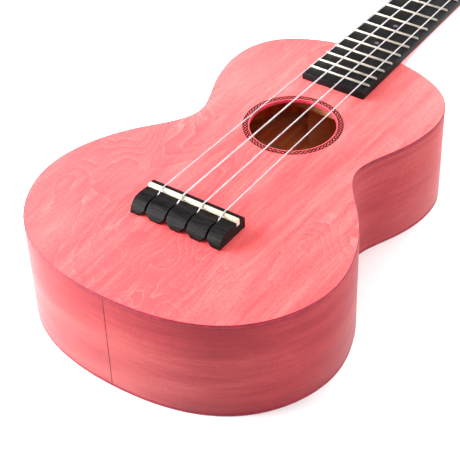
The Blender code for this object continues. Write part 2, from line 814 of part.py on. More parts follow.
def string_post(name, frame):
    bottom = GEAR_MIDDLE - GEAR_THICKNESS
    seat = GEAR_MIDDLE + GEAR_THICKNESS / 2 + GAP
    profile = (
        (0, POST_TOP),
        (POST_RADIUS - POST_CHAMFER, POST_TOP),
        (POST_RADIUS, POST_TOP - POST_CHAMFER),
        (POST_RADIUS, POST_WAIST_HIGH + POST_WAIST_FLARE),
        (POST_WAIST, POST_WAIST_HIGH),
        (POST_WAIST, POST_WAIST_LOW),
        (POST_RADIUS, POST_WAIST_LOW - POST_WAIST_FLARE),
        (POST_RADIUS, seat),
        (GEAR_SEAT, seat),
        (GEAR_SEAT, bottom),
        (0, bottom),
    )
    post = turned(f"tuner_{name}_post", profile, steel(f"tuner_{name}_post"), frame)
    hole = circle((0, POST_HOLE), POST_HOLE_RADIUS, POST_HOLE_STEPS)
    drill = crosswise(f"post_hole_{name}", [hole], 4 * POST_RADIUS, parent=frame)
    combine(post, as_cutter(as_mesh(drill)), "DIFFERENCE")


def gear(name, frame):
    """The worm wheel, with a gap between two teeth facing the worm."""
    step = 360 / GEAR_TEETH
    loop = []
    for tooth in range(GEAR_TEETH):
        middle = 90 + (tooth + 0.5) * step
        for radius, share in (
            (GEAR_ROOT_RADIUS, -TOOTH_FOOT_SHARE),
            (GEAR_TIP_RADIUS, -TOOTH_TIP_SHARE),
            (GEAR_TIP_RADIUS, TOOTH_TIP_SHARE),
            (GEAR_ROOT_RADIUS, TOOTH_FOOT_SHARE),
        ):
            angle = math.radians(middle + share * step)
            loop.append((radius * math.cos(angle), radius * math.sin(angle)))
    bore = circle((0, 0), GEAR_BORE, POST_STEPS)
    low = GEAR_MIDDLE - GEAR_THICKNESS / 2
    high = GEAR_MIDDLE + GEAR_THICKNESS / 2
    plate(f"tuner_{name}_gear", [loop, bore], low, high, steel(f"tuner_{name}_gear"), frame)


def worm_radius(x, angle):
    """A single right-hand thread with sloping flanks, its crest facing the wheel at x = 0."""
    phase = (x / WORM_LEAD - angle / (2 * math.pi)) % 1
    from_crest = abs(phase - 0.5)
    share = min(max((WORM_FLANK_END - from_crest) / WORM_FLANK, 0), 1)
    return WORM_ROOT + (WORM_CREST - WORM_ROOT) * share


def worm_shaft(name, side, axis):
    """The shaft through both ears, with the thread between them and its long end outwards."""
    angles = np.linspace(0, 2 * math.pi, RING_POINTS, endpoint=False)
    ends = sorted((-side * SHAFT_INNER_END, side * SHAFT_OUTER_END))
    threaded = np.linspace(-WORM_HALF_LENGTH, WORM_HALF_LENGTH, WORM_RINGS)
    rings = []
    for x in (ends[0], -WORM_HALF_LENGTH):
        rings.append([(x, SHAFT_RADIUS * math.cos(a), SHAFT_RADIUS * math.sin(a)) for a in angles])
    for x in threaded[1:-1]:
        radii = [worm_radius(x, a) for a in angles]
        rings.append([(x, r * math.cos(a), r * math.sin(a)) for r, a in zip(radii, angles)])
    for x in (WORM_HALF_LENGTH, ends[1]):
        rings.append([(x, SHAFT_RADIUS * math.cos(a), SHAFT_RADIUS * math.sin(a)) for a in angles])
    loft(f"tuner_{name}_worm_shaft", rings, steel(f"tuner_{name}_worm_shaft"), axis)


def button(name, side, axis):
    """The oval grip on the end of the shaft."""
    paint = material(f"tuner_{name}_button", (0.02, 0.02, 0.022), 0.25)
    rings = []
    for x, wide, thick in BUTTON_RINGS:
        outline = circle((0, 0), 1, RING_POINTS)
        rings.append([(side * x, wide * y, thick * z) for y, z in outline])
    loft(f"tuner_{name}_button", rings, paint, axis)


def tuners(head):
    for name, (side, along) in TUNERS.items():
        frame = empty(f"tuner_{name}_post_axis", (side * POST_X, along, 0), head)
        axis = empty(f"tuner_{name}_knob_axis", (0, WORM_OFFSET, GEAR_MIDDLE), frame)
        machine_plate(name, frame)
        string_post(name, frame)
        gear(name, frame)
        worm_shaft(name, side, axis)
        button(name, side, axis)


# ---------------------------------------------------------------- the ukulele


clear_scene()
PARTS = new_collection("ukulele")
CUTTERS = new_collection("cutters")
HEAD = empty("head_frame", (0, HEAD_START_Y, TOP_Z))
HEAD.rotation_euler.x = -HEAD_TILT

soundboard()
back_plate()
side_panels()
linings()
inner_blocks()
braces()
bridge_patch()
bridge()
saddle()
neck(HEAD)
fingerboard()
frets()
nut()
strings()
tuners(HEAD)
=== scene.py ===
"""Looks of a concert ukulele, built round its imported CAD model.

Metres, in the CAD's own frame: +Y from the tail to the headstock, +Z up out of the soundboard.
"""

import json
import math

import bmesh
import bpy
import numpy as np
from mathutils import Matrix, Vector


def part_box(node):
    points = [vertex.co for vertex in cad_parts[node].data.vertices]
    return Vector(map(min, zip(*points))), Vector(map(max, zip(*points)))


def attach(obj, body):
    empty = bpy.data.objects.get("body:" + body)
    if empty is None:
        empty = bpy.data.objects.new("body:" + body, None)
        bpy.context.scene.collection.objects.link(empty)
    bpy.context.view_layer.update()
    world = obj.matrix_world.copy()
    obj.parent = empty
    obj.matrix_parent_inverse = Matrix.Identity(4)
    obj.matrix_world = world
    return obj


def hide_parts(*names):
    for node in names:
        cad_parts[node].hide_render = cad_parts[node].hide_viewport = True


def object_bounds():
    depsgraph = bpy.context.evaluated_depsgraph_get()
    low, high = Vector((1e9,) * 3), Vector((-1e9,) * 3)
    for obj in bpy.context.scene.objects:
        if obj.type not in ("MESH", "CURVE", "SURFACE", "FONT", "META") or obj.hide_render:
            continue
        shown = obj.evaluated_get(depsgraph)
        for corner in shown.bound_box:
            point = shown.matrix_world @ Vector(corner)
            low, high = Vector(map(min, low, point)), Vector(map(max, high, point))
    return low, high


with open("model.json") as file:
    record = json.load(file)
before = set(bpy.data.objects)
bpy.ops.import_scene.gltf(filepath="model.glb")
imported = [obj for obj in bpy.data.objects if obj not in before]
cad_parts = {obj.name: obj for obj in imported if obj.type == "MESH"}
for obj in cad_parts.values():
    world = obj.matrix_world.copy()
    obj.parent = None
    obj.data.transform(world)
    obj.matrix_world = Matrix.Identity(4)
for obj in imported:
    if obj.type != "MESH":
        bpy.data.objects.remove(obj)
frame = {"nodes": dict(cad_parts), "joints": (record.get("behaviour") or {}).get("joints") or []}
CAD_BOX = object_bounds()

# ---- places read from the frame

JOINTS = {joint["name"]: joint for joint in frame["joints"]}
WOOD_LOW, WOOD_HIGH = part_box("soundboard")
TOP_Z = WOOD_HIGH.z
TAIL_Y = WOOD_LOW.y
JOINT_Y = WOOD_HIGH.y
PLATE_LOW_Z = WOOD_LOW.z
BACK_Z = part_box("back_plate")[1].z
NUT_LOW, NUT_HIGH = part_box("nut")
NUT_Y = NUT_LOW.y
SADDLE_LOW, SADDLE_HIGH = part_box("saddle")
SCALE_LENGTH = 0.380
SADDLE_Y = NUT_Y - SCALE_LENGTH
BOARD_LOW, BOARD_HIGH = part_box("fingerboard")
BOARD_END_Y = BOARD_LOW.y
BOARD_END_HALF = BOARD_HIGH.x
BOARD_NUT_HALF = NUT_HIGH.x
BRIDGE_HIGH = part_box("bridge")[1]
HEAD_START_Y = NUT_HIGH.y + 0.0005
POSTS = {name: Vector(JOINTS[f"tuner_{name}_post_turn"]["pos_m"]) for name in "gcea"}
HEAD_AXIS = JOINTS["tuner_g_post_turn"]["axis"]
HEAD_TILT = math.atan2(HEAD_AXIS[1], HEAD_AXIS[2])
HEAD_FACE_LENGTH = (CAD_BOX[1].y - HEAD_START_Y) / math.cos(HEAD_TILT)
HEAD_FRAME = Matrix.Translation((0, HEAD_START_Y, TOP_Z)) @ Matrix.Rotation(-HEAD_TILT, 4, "X")

# ---- sizes of the fine shapes

HOLE_Y = SADDLE_Y + 0.0985
HOLE_RADIUS = 0.0257
WAIST_Y = TAIL_Y + 0.159
SIDE_THICKNESS = 0.0020
# The finer outline swells between the CAD's points, so all of it lies this far inside them
RIM_INSET = 0.00006
SEAM_HALF_GAP = 0.00006
ROSETTE_INNER = 0.0266
ROSETTE_OUTER = 0.0298
ROSETTE_LINE = 0.00048
ROSETTE_WAVE_LINE = 0.00066
ROSETTE_PERIODS = 34
STRING_DIAMETERS = {"g": 0.00066, "c": 0.00096, "e": 0.00082, "a": 0.00070}
SADDLE_SPACING = 0.0135
NUT_SPACING = 0.0093
NUT_FLOOR_Z = TOP_Z + 0.0061
GROOVE_PLAY = 0.00006
KNOT_Y = SADDLE_Y - 0.0150
BRIDGE_TAIL_Y = SADDLE_Y - 0.0220
SLOT_WIDTH = 0.0011
FRET_COUNT = 16
FRET_CROWN = 0.0009
FRET_SLANT = 0.0004
DOT_FRETS = (5, 7, 10, 12)
DOT_RADIUS = 0.0015
HEAD_THICKNESS = 0.012
POST_WAIST = 0.0025
POST_RADIUS = 0.0030
POST_TOP = 0.0130
POST_CORE = 0.0020
POST_SHOULDER = 0.0012
POST_HOLE = 0.0080
POST_HOLE_RADIUS = 0.0007
BORE_RADIUS = 0.0034
COIL_LOW = 0.0042
COIL_PITCH = 0.0013
COIL_TURNS = 2.75
# The coil starts this share of a turn ahead of the place where the string meets it
COIL_LEAD = 0.93
COIL_STEPS = 28
KNOT_SIZE = 0.00085


# ---- procedural materials

EVEN = (1, 1, 1)


class Paint:
    """One procedural material, built node by node on a Principled surface."""

    def __init__(self, name, roughness=0.5, metallic=0.0, **fixed):
        self.material = bpy.data.materials.new(name)
        self.material.use_nodes = True
        self.tree = self.material.node_tree
        self.surface = self.tree.nodes["Principled BSDF"]
        self.surface.inputs["Roughness"].default_value = roughness
        self.surface.inputs["Metallic"].default_value = metallic
        for socket, value in fixed.items():
            self.surface.inputs[socket.replace("_", " ")].default_value = value
        self.place = self.node("ShaderNodeTexCoord").outputs["Object"]

    def node(self, kind, inputs=(), **settings):
        made = self.tree.nodes.new(kind)
        for name, value in settings.items():
            setattr(made, name, value)
        for socket, value in dict(inputs).items():
            self.feed(made.inputs[socket], value)
        return made

    def feed(self, socket, value):
        if isinstance(value, bpy.types.NodeSocket):
            self.tree.links.new(value, socket)
        else:
            socket.default_value = value

    def stretched(self, scale):
        inputs = {"Vector": self.place, "Scale": scale}
        return self.node("ShaderNodeMapping", inputs).outputs["Vector"]

    def noise(self, place, scale, detail=3.0, roughness=0.5, distortion=0.0):
        inputs = {"Vector": place, "Scale": scale, "Detail": detail}
        inputs.update({"Roughness": roughness, "Distortion": distortion})
        return self.node("ShaderNodeTexNoise", inputs).outputs["Fac"]

    def bands(self, place, scale, distortion, detail_scale):
        inputs = {"Vector": place, "Scale": scale, "Distortion": distortion}
        inputs.update({"Detail": 3.0, "Detail Scale": detail_scale, "Detail Roughness": 0.55})
        return self.node("ShaderNodeTexWave", inputs).outputs["Fac"]

    def ramp(self, value, *stops):
        node = self.node("ShaderNodeValToRGB", {"Fac": value})
        elements = node.color_ramp.elements
        while len(elements) < len(stops):
            elements.new(0.5)
        for element, (position, color) in zip(elements, stops):
            element.position = position
            element.color = (*color, 1) if len(color) == 3 else color
        return node.outputs["Color"]

    def level(self, value, low, high, start=0.0, end=1.0):
        """The value mapped from low..high to start..end, clamped."""
        inputs = {"Value": value, "From Min": low, "From Max": high, "To Min": start, "To Max": end}
        return self.node("ShaderNodeMapRange", inputs).outputs["Result"]

    def mix(self, share, first, second):
        inputs = {0: share, 6: first, 7: second}
        return self.node("ShaderNodeMix", inputs, data_type="RGBA").outputs[2]

    def math(self, operation, first, second):
        inputs = {0: first, 1: second}
        return self.node("ShaderNodeMath", inputs, operation=operation).outputs[0]

    def blend(self, *weighted):
        """The weighted sum of several values."""
        total = None
        for value, weight in weighted:
            part = self.math("MULTIPLY", value, weight)
            total = part if total is None else self.math("ADD", total, part)
        return total

    def color(self, value):
        self.feed(self.surface.inputs["Base Color"], value)

    def rough(self, value):
        self.feed(self.surface.inputs["Roughness"], value)

    def bump(self, height, distance, strength=1.0):
        inputs = {"Height": height, "Distance": distance, "Strength": strength}
        self.feed(self.surface.inputs["Normal"], self.node("ShaderNodeBump", inputs).outputs["Normal"])


def stained_wood(name, tones, along, gloss=0.5, figure=1.0, painted_light_drifts=()):
    """Figured veneer under a thin coloured lacquer. The tones run deep, middle, pale.

    `along` is how much each axis is squeezed, small along the grain. Pale growth lines follow the
    contours of a slow field, so that they close into long ovals, and fine streaks run with the grain.
    The drifts are painted light and shade: they make the colour paler or deeper from one place to
    another along an axis, where the lamps light the wood more or less.
    """
    paint = Paint(name, Coat_Weight=0.5 * gloss, Coat_Roughness=0.32, Specular_IOR_Level=gloss)
    deep, middle, pale = tones
    grain = paint.stretched(along)
    slow = paint.stretched([s**0.4 for s in along])
    fine = paint.stretched([0.35 * s if s < 1 else s for s in along])
    ragged = paint.noise(grain, 260, 3, 0.6)
    growth = paint.blend((paint.noise(slow, 15, 2, 0.45, 0.8), 26.0), (ragged, 0.8))
    ring = paint.math("FRACT", growth, 0.0)
    line = paint.level(ring, 0.0, 0.16, 1.0, 0.0)
    fade = paint.level(ring, 0.45, 1.0)
    where = paint.level(paint.noise(slow, 22, 2), 0.42, 0.60, 0.15 * figure, figure)
    clouds = paint.noise(grain, 45, 3, 0.5, 0.8)
    streaks = paint.noise(fine, 330, 4, 0.6, 0.3)
    fibres = paint.noise(fine, 1300, 2, 0.6)
    mottle = paint.noise(paint.stretched(EVEN), 700, 2, 0.6)
    calm = 1 - figure
    plain = paint.blend(
        (clouds, 0.26 + 0.30 * calm),
        (streaks, 0.26),
        (fibres, 0.20 - 0.10 * calm),
        (mottle, 0.28 - 0.20 * calm),
    )
    rings = paint.math("MULTIPLY", paint.blend((line, 0.145), (fade, -0.08)), where)
    tone = paint.math("ADD", plain, rings)
    # Painted light and shade: each drift makes the colour paler or deeper along one axis.
    for axis, *stretch in painted_light_drifts:
        apart = paint.node("ShaderNodeSeparateXYZ", {0: paint.place}).outputs[axis]
        tone = paint.math("ADD", tone, paint.level(apart, *stretch))
    color = paint.ramp(tone, (0.38, deep), (0.50, middle), (0.62, pale))
    pores = paint.noise(fine, 2100, 2, 0.5)
    flecks = paint.level(pores, 0.66, 0.78, 0.0, 0.35)
    paint.color(paint.mix(flecks, color, (*deep, 1)))
    paint.rough(paint.level(streaks, 0.3, 0.7, 0.33, 0.45))
    paint.bump(paint.blend((fibres, 0.6), (pores, 0.4)), 0.00004, 0.5)
    return paint.material


def clouded(name, roughness, grain, tones, gloss, dents=None, **fixed):
    """One cloudy field sets both the colour, from (share, colour) pairs, and the roughness.

    `grain` is how much each axis is squeezed and the field's scale, detail and so on. `dents` is the
    same for a field of fine bumps, then their depth and strength.
    """
    paint = Paint(name, roughness, **fixed)
    squeeze, *field = grain
    clouds = paint.noise(paint.stretched(squeeze), *field)
    paint.color(paint.ramp(clouds, *tones))
    paint.rough(paint.level(clouds, 0.3, 0.7, *gloss))
    if dents:
        squeeze, scale, detail, *depth = dents
        paint.bump(paint.noise(paint.stretched(squeeze), scale, detail), *depth)
    return paint.material


def painted_edge(name, color):
    """Raw edge wood brushed with stain, so it is deeper and blotchy."""
    tones = ((0.35, [0.6 * part for part in color]), (0.65, color))
    dents = ((1, 1, 4), 1200, 3, 0.00005)
    grain = (EVEN, 300, 4, 0.6)
    return clouded(name, 0.5, grain, tones, (0.35, 0.55), dents, Specular_IOR_Level=0.15)


def raw_wood(name, tones, along):
    """Unfinished wood with open grain and end-to-end streaks."""
    paint = Paint(name, 0.75)
    dark, light = tones
    grain = paint.stretched(along)
    streaks = paint.bands(grain, 40, 5.0, 0.8)
    fibres = paint.noise(grain, 900, 4, 0.65)
    patches = paint.noise(grain, 60, 3)
    tone = paint.blend((streaks, 0.3), (fibres, 0.4), (patches, 0.3))
    paint.color(paint.ramp(tone, (0.3, dark), (0.7, light)))
    paint.rough(paint.level(fibres, 0.3, 0.7, 0.65, 0.85))
    paint.bump(fibres, 0.00010, 0.7)
    return paint.material


def black_wood(name, along, base, sheen, roughness):
    """Dyed hardwood: near black, with paler pore lines along the grain and a satin rub."""
    paint = Paint(name, roughness, Specular_IOR_Level=0.09)
    grain = paint.stretched(along)
    pores = paint.noise(grain, 2600, 2, 0.55)
    streaks = paint.noise(grain, 900, 3, 0.6, 0.2)
    tone = paint.blend((pores, 0.6), (streaks, 0.4))
    paint.color(paint.ramp(tone, (0.46, base), (0.64, sheen)))
    paint.rough(paint.level(tone, 0.35, 0.65, roughness - 0.05, roughness + 0.08))
    paint.bump(tone, 0.00005, 0.5)
    return paint.material


def bright_metal(name, dull, clean, roughness, along):
    """Plated or polished metal with handling haze and hairlines."""
    paint = Paint(name, roughness, 1.0)
    haze = paint.noise(paint.stretched(EVEN), 260, 4, 0.6)
    hairlines = paint.noise(paint.stretched(along), 2600, 3, 0.6)
    paint.color(paint.ramp(haze, (0.35, dull), (0.6, clean)))
    tone = paint.blend((haze, 0.5), (hairlines, 0.5))
    paint.rough(paint.level(tone, 0.35, 0.65, roughness * 0.75, roughness * 1.35))
    paint.bump(hairlines, 0.000004, 0.2)
    return paint.material


# ---- mesh tools


def arc(center, radius, start, end, count):
    angles = np.radians(np.linspace(start, end, count))
    return [(center[0] + radius * math.cos(a), center[1] + radius * math.sin(a)) for a in angles]


def circle(center, radius, count):
    return arc(center, radius, 0, 360, count + 1)[:-1]


def smooth_loop(points, per_span):
    """Points along the periodic cubic spline through the given ones."""
    knots = np.array(points, float)
    count = len(knots)
    after = np.roll(knots, -1, axis=0)
    span = np.sqrt(np.linalg.norm(after - knots, axis=1))
    before = np.roll(span, 1)
    slope = (after - knots) / span[:, None]
    system = np.zeros((count, count))
    for i in range(count):
        system[i, i - 1] = before[i]
        system[i, i] = 2 * (before[i] + span[i])
        system[i, (i + 1) % count] = span[i]
    bend = np.linalg.solve(system, 6 * (slope - np.roll(slope, 1, axis=0)))
    bend_after = np.roll(bend, -1, axis=0)
    loop = []
    for i in range(count):
        for t in np.arange(per_span) / per_span * span[i]:
            rest = span[i] - t
            loop.append(
                (rest**3 * bend[i] + t**3 * bend_after[i]) / (6 * span[i])
                + (knots[i] / span[i] - bend[i] * span[i] / 6) * rest
                + (after[i] / span[i] - bend_after[i] * span[i] / 6) * t
            )
    return np.array(loop)


def moved_in(loop, inset):
    """A closed loop, counter-clockwise, moved towards its inside."""
    loop = np.array(loop, float)
    along = np.roll(loop, -1, axis=0) - np.roll(loop, 1, axis=0)
    outward = np.stack([along[:, 1], -along[:, 0]], axis=1)
    return loop - inset * outward / np.linalg.norm(outward, axis=1)[:, None]


def soundbox_rim():
    """The CAD soundboard's own edge points, from the tail counter-clockwise, made finer."""
    points = np.array([v.co for v in frame["nodes"]["soundboard"].data.vertices])
    points = points[points[:, 2] > TOP_Z - 0.00001][:, :2]
    points = points[np.unique(np.round(points, 4), axis=0, return_index=True)[1]]
    points = points[np.hypot(points[:, 0], points[:, 1] - HOLE_Y) > 1.05 * HOLE_RADIUS]
    turn = (np.arctan2(points[:, 1] - WAIST_Y, points[:, 0]) + math.pi / 2 + 0.001) % (2 * math.pi)
    return smooth_loop(points[np.argsort(turn)], 4)


RIM = moved_in(soundbox_rim(), RIM_INSET)


def rim(inset):
    return moved_in(RIM, inset)


def hole(inset):
    return circle((0, HOLE_Y), HOLE_RADIUS + inset, 96)


def rounded_edge(low, high, low_radius, high_radius, steps=4):
    """A plate's edge from its upper face round to its lower one, as (inset, height)."""
    edge = []
    for a in np.radians(np.linspace(90, 0, steps + 1)):
        edge.append((high_radius * (1 - math.cos(a)), high - high_radius * (1 - math.sin(a))))
    for a in np.radians(np.linspace(0, 90, steps + 1)):
        edge.append((low_radius * (1 - math.cos(a)), low + low_radius * (1 - math.sin(a))))
    return edge


def shade(mesh, angle):
    """Smooth shading between faces that meet at less than the angle. 0 leaves the mesh as it is."""
    if angle:
        mesh.shade_smooth()
        mesh.set_sharp_from_angle(angle=math.radians(angle))


def new_object(name, bm, *paints, matrix=None, smooth=35):
    mesh = bpy.data.meshes.new(name)
    bmesh.ops.recalc_face_normals(bm, faces=bm.faces)
    bm.to_mesh(mesh)
    bm.free()
    obj = bpy.data.objects.new(name, mesh)
    bpy.context.scene.collection.objects.link(obj)
    for paint in paints:
        mesh.materials.append(paint)
    if matrix is not None:
        obj.matrix_world = matrix
    shade(mesh, smooth)
    return obj


def strip_faces(bm, rings, material=0):
    """Quads between neighbouring rings of vertices."""
    for first, second in zip(rings, rings[1:]):
        for i in range(len(first)):
            face = bm.faces.new((first[i - 1], first[i], second[i], second[i - 1]))
            face.material_index = material


def loft(bm, rings):
    """A closed skin over cross-sections that have the same number of points."""
    loops = [[bm.verts.new(point) for point in ring] for ring in rings]
    strip_faces(bm, loops)
    for end in (loops[0], loops[-1]):
        bm.faces.new(end)


def skin(name, rings, *paints, **placing):
    bm = bmesh.new()
    loft(bm, rings)
    return new_object(name, bm, *paints, **placing)


def drawn(outline, axis, *stops):
    """An outline in the two other axes, at each stop along one axis."""
    return [[(*point[:axis], stop, *point[axis:]) for point in outline] for stop in stops]


def round_ring(radius, height, steps):
    """A level ring about Z."""
    angles = np.linspace(0, 2 * math.pi, steps, endpoint=False)
    return [(radius * math.cos(a), radius * math.sin(a), height) for a in angles]


def slab(name, loops, edges, *paints, faces=(0, 0), **placing):
    """A plate bounded by loops, the outline first and then holes.

    Each loop has its own edge profile and material. `faces` gives those of the upper and lower face.
    """
    bm = bmesh.new()
    upper, lower = [], []
    for loop, (edge, material) in zip(loops, edges):
        rings = [[bm.verts.new((x, y, z)) for x, y in loop(inset)] for inset, z in edge]
        strip_faces(bm, rings, material=material)
        for ring, side in ((rings[0], upper), (rings[-1], lower)):
            side += [bm.edges.get((ring[i - 1], ring[i])) for i in range(len(ring))]
    for side, material in zip((upper, lower), faces):
        for face in bmesh.ops.triangle_fill(bm, use_beauty=True, edges=side)["geom"]:
            if isinstance(face, bmesh.types.BMFace):
                face.material_index = material
    return new_object(name, bm, *paints, **placing)


def lathe(name, profile, steps, *paints, **placing):
    """A solid of revolution about Z, its profile given top to bottom as (radius, height)."""
    bm = bmesh.new()
    rings = []
    for radius, height in profile:
        if radius == 0:
            rings.append([bm.verts.new((0, 0, height))] * steps)
        else:
            rings.append([bm.verts.new(point) for point in round_ring(radius, height, steps)])
    for first, second in zip(rings, rings[1:]):
        for i in range(steps):
            corners = list(dict.fromkeys((first[i - 1], first[i], second[i], second[i - 1])))
            if len(corners) > 2:
                bm.faces.new(corners)
    return new_object(name, bm, *paints, **placing)


# The domed end of a wire, as shares of its radius: how far out, how wide
WIRE_DOME = ((1, 0.35), (0.75, 0.75))


def wire(name, points, radius, paint, sides=12):
    """A round wire along the points, with domed ends."""
    path = np.array(points, float)
    along = np.gradient(path, axis=0)
    along /= np.linalg.norm(along, axis=1)[:, None]
    across = np.cross(along[0], (0.3, 0.2, 1.0))
    stations = []
    for place, direction in zip(path, along):
        across = across - direction * (across @ direction)
        across /= np.linalg.norm(across)
        stations.append((place, direction, across, np.cross(direction, across)))
    angles = np.linspace(0, 2 * math.pi, sides, endpoint=False)

    def ring(station, out=0.0, share=1.0):
        place, direction, u, v = station
        middle = place + direction * radius * out
        return [middle + radius * share * (math.cos(a) * u + math.sin(a) * v) for a in angles]

    rings = [ring(stations[0], -out, share) for out, share in WIRE_DOME]
    rings += [ring(station) for station in stations]
    rings += [ring(stations[-1], out, share) for out, share in reversed(WIRE_DOME)]
    return skin(name, rings, paint, smooth=60)


def block(low, high):
    """A box, as the rings of a loft."""
    (x, y, z), (far_x, far_y, far_z) = low, high
    return drawn([(y, z), (far_y, z), (far_y, far_z), (y, far_z)], 0, x, far_x)


def boolean(obj, operation, tool, matrix=None):
    """Cuts the object with a tool, which is an object or a list of lofts, or joins it to the tool."""
    if isinstance(tool, list):
        bm = bmesh.new()
        for rings in tool:
            loft(bm, rings)
        tool = new_object("tool", bm, matrix=matrix, smooth=0)
    modifier = obj.modifiers.new("cut", "BOOLEAN")
    modifier.operation = operation
    modifier.object = tool
    modifier.solver = "MANIFOLD"
    settle(obj)
    bpy.data.objects.remove(tool)


def settle(obj, smooth=35):
    """Applies the object's modifiers to its mesh."""
    bpy.context.view_layer.update()
    graph = bpy.context.evaluated_depsgraph_get()
    mesh = bpy.data.meshes.new_from_object(obj.evaluated_get(graph))
    obj.modifiers.clear()
    obj.data = mesh
    shade(mesh, smooth)


def repainted(mesh, paint):
    mesh.materials.clear()
    mesh.materials.append(paint)


def bevelled(obj, width, angle):
    """Eases the edges, and keeps the shading of the flat faces between them even."""
    modifier = obj.modifiers.new("edges", "BEVEL")
    modifier.width = width
    modifier.segments = 2
    modifier.limit_method = "ANGLE"
    modifier.angle_limit = math.radians(angle)
    modifier.use_clamp_overlap = True
    even = obj.modifiers.new("shading", "WEIGHTED_NORMAL")
    even.weight = 100
    even.keep_sharp = True
    settle(obj, 0)


def done(obj, body, slot, *nodes):
    """The piece moves with a body and stands for CAD nodes. The finish named by `slot` is not used."""
    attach(obj, body)
    if nodes:
        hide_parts(*nodes)


# ---- the materials in use

PALE, MIDDLE, DEEP = (0.82, 0.160, 0.155), (0.77, 0.100, 0.101), (0.70, 0.054, 0.062)
PAINTS = {
    # Painted shade: the soundboard's colour deepens towards the tail.
    "soundboard": stained_wood(
        "stained_soundboard", (DEEP, MIDDLE, PALE), (1, 0.16, 1), painted_light_drifts=[("Y", TAIL_Y, -0.10, -0.07, 0)]
    ),
    "back": stained_wood("stained_back", (DEEP, (0.70, 0.11, 0.11), PALE), (1, 0.13, 1)),
    # Painted light and shade: the sides are paler on the -X side, which faces the lamps on the left,
    # deeper on the +X side, and paler towards +Y, the neck's end.
    "sides": stained_wood(
        "stained_sides",
        ((0.195, 0.013, 0.020), (0.25, 0.025, 0.030), (0.305, 0.047, 0.048)),
        (0.13, 0.13, 1),
        gloss=0.13,
        figure=0.25,
        painted_light_drifts=[("X", 0.01, 0.06, 0.07, -0.08), ("Y", -0.16, -0.03, 0, 0.24)],
    ),
    "neck": stained_wood(
        "stained_neck", (DEEP, (0.66, 0.095, 0.10), MIDDLE), (1, 0.07, 1), figure=0.4
    ),
    "hole_edge": painted_edge("stained_hole_edge", (0.62, 0.034, 0.070)),
    "rim": painted_edge("stained_rim", (0.25, 0.017, 0.034)),
    "seam": painted_edge("stained_seam", (0.13, 0.005, 0.013)),
    "inside": raw_wood("raw_inside", ((0.90, 0.22, 0.065), (0.97, 0.37, 0.135)), (1, 0.1, 1)),
    "blocks": raw_wood("raw_blocks", ((0.52, 0.20, 0.08), (0.72, 0.34, 0.15)), (0.1, 1, 1)),
    "bridge": black_wood(
        "black_bridge", (0.05, 1, 1), (0.001, 0.0007, 0.0008), (0.016, 0.012, 0.012), 0.42
    ),
    "board": black_wood(
        "black_fingerboard", (1, 0.04, 1), (0.002, 0.0015, 0.0018), (0.011, 0.009, 0.010), 0.42
    ),
    # Cream moulded plastic with faint cloudy streaks
    "saddle": clouded(
        "cream_saddle",
        0.32,
        ((0.3, 1, 1), 500, 4, 0.55, 0.4),
        ((0.35, (0.50, 0.41, 0.31)), (0.65, (0.57, 0.49, 0.38))),
        (0.26, 0.40),
        (EVEN, 2500, 3, 0.00002, 0.4),
        Subsurface_Weight=0.12,
        Subsurface_Scale=0.002,
    ),
    # Milky clear monofilament
    "nylon": clouded(
        "nylon",
        0.28,
        ((1, 0.2, 1), 700, 3),
        ((0.35, (0.36, 0.34, 0.36)), (0.65, (0.43, 0.41, 0.42))),
        (0.22, 0.34),
        ((1, 0.2, 1), 700, 3, 0.00001, 0.3),
        Coat_Weight=0.3,
        Coat_Roughness=0.2,
    ),
    # Black moulded plastic with a trace of flow marks and rub haze
    "button": clouded(
        "black_button",
        0.2,
        ((0.3, 1, 1), 300, 3, 0.5, 0.5),
        ((0.35, (0.010, 0.010, 0.011)), (0.7, (0.022, 0.022, 0.024))),
        (0.14, 0.28),
        (EVEN, 1800, 3, 0.00001, 0.4),
        Coat_Weight=0.4,
        Coat_Roughness=0.12,
    ),
    # Pearly inlay with drifting lilac and grey patches
    "pearl": clouded(
        "pearl",
        0.25,
        (EVEN, 700, 4, 0.55, 1.2),
        ((0.35, (0.08, 0.06, 0.09)), (0.65, (0.16, 0.13, 0.18))),
        (0.2, 0.35),
        Coat_Weight=0.3,
        Coat_Roughness=0.15,
    ),
    # Black fibre strip of the decoration round the hole
    "inlay": clouded(
        "black_inlay",
        0.5,
        (EVEN, 2500, 3),
        ((0.35, (0.003, 0.002, 0.0025)), (0.65, (0.010, 0.007, 0.008))),
        (0.4, 0.6),
        Specular_IOR_Level=0.06,
    ),
    "fret": bright_metal("fret_wire", (0.38, 0.34, 0.29), (0.46, 0.42, 0.36), 0.60, (0.1, 1, 1)),
    "plate": bright_metal("nickel_plate", (0.66, 0.65, 0.64), (0.83, 0.83, 0.84), 0.20, (1, 0.1, 1)),
    "steel": bright_metal("nickel_steel", (0.62, 0.61, 0.60), (0.82, 0.82, 0.82), 0.18, (1, 1, 0.1)),
    "brass": bright_metal("brass", (0.52, 0.36, 0.14), (0.80, 0.60, 0.28), 0.28, (1, 1, 0.1)),
}


def paints(*names):
    return [PAINTS[name] for name in names]


# ---- soundbox


def soundboard():
    """The stained face, its painted rim and hole edge, and bare wood underneath."""
    top_edge = rounded_edge(PLATE_LOW_Z, TOP_Z, 0.00012, 0.0005)
    hole_edge = rounded_edge(PLATE_LOW_Z, TOP_Z, 0.0002, 0.0003, 3)
    obj = slab(
        "soundboard_veneer",
        (rim, hole),
        ((top_edge, 3), (hole_edge, 1)),
        *paints("soundboard", "hole_edge", "inside", "rim"),
        faces=(0, 2),
    )
    done(obj, "instrument", "stained_soundboard", "soundboard")


def back_plate():
    edge = rounded_edge(0, BACK_Z, 0.0007, 0.00012)
    materials = paints("back", "inside", "rim")
    obj = slab("back_veneer", (rim,), ((edge, 2),), *materials, faces=(1, 0))
    done(obj, "instrument", "stained_back", "back_plate")


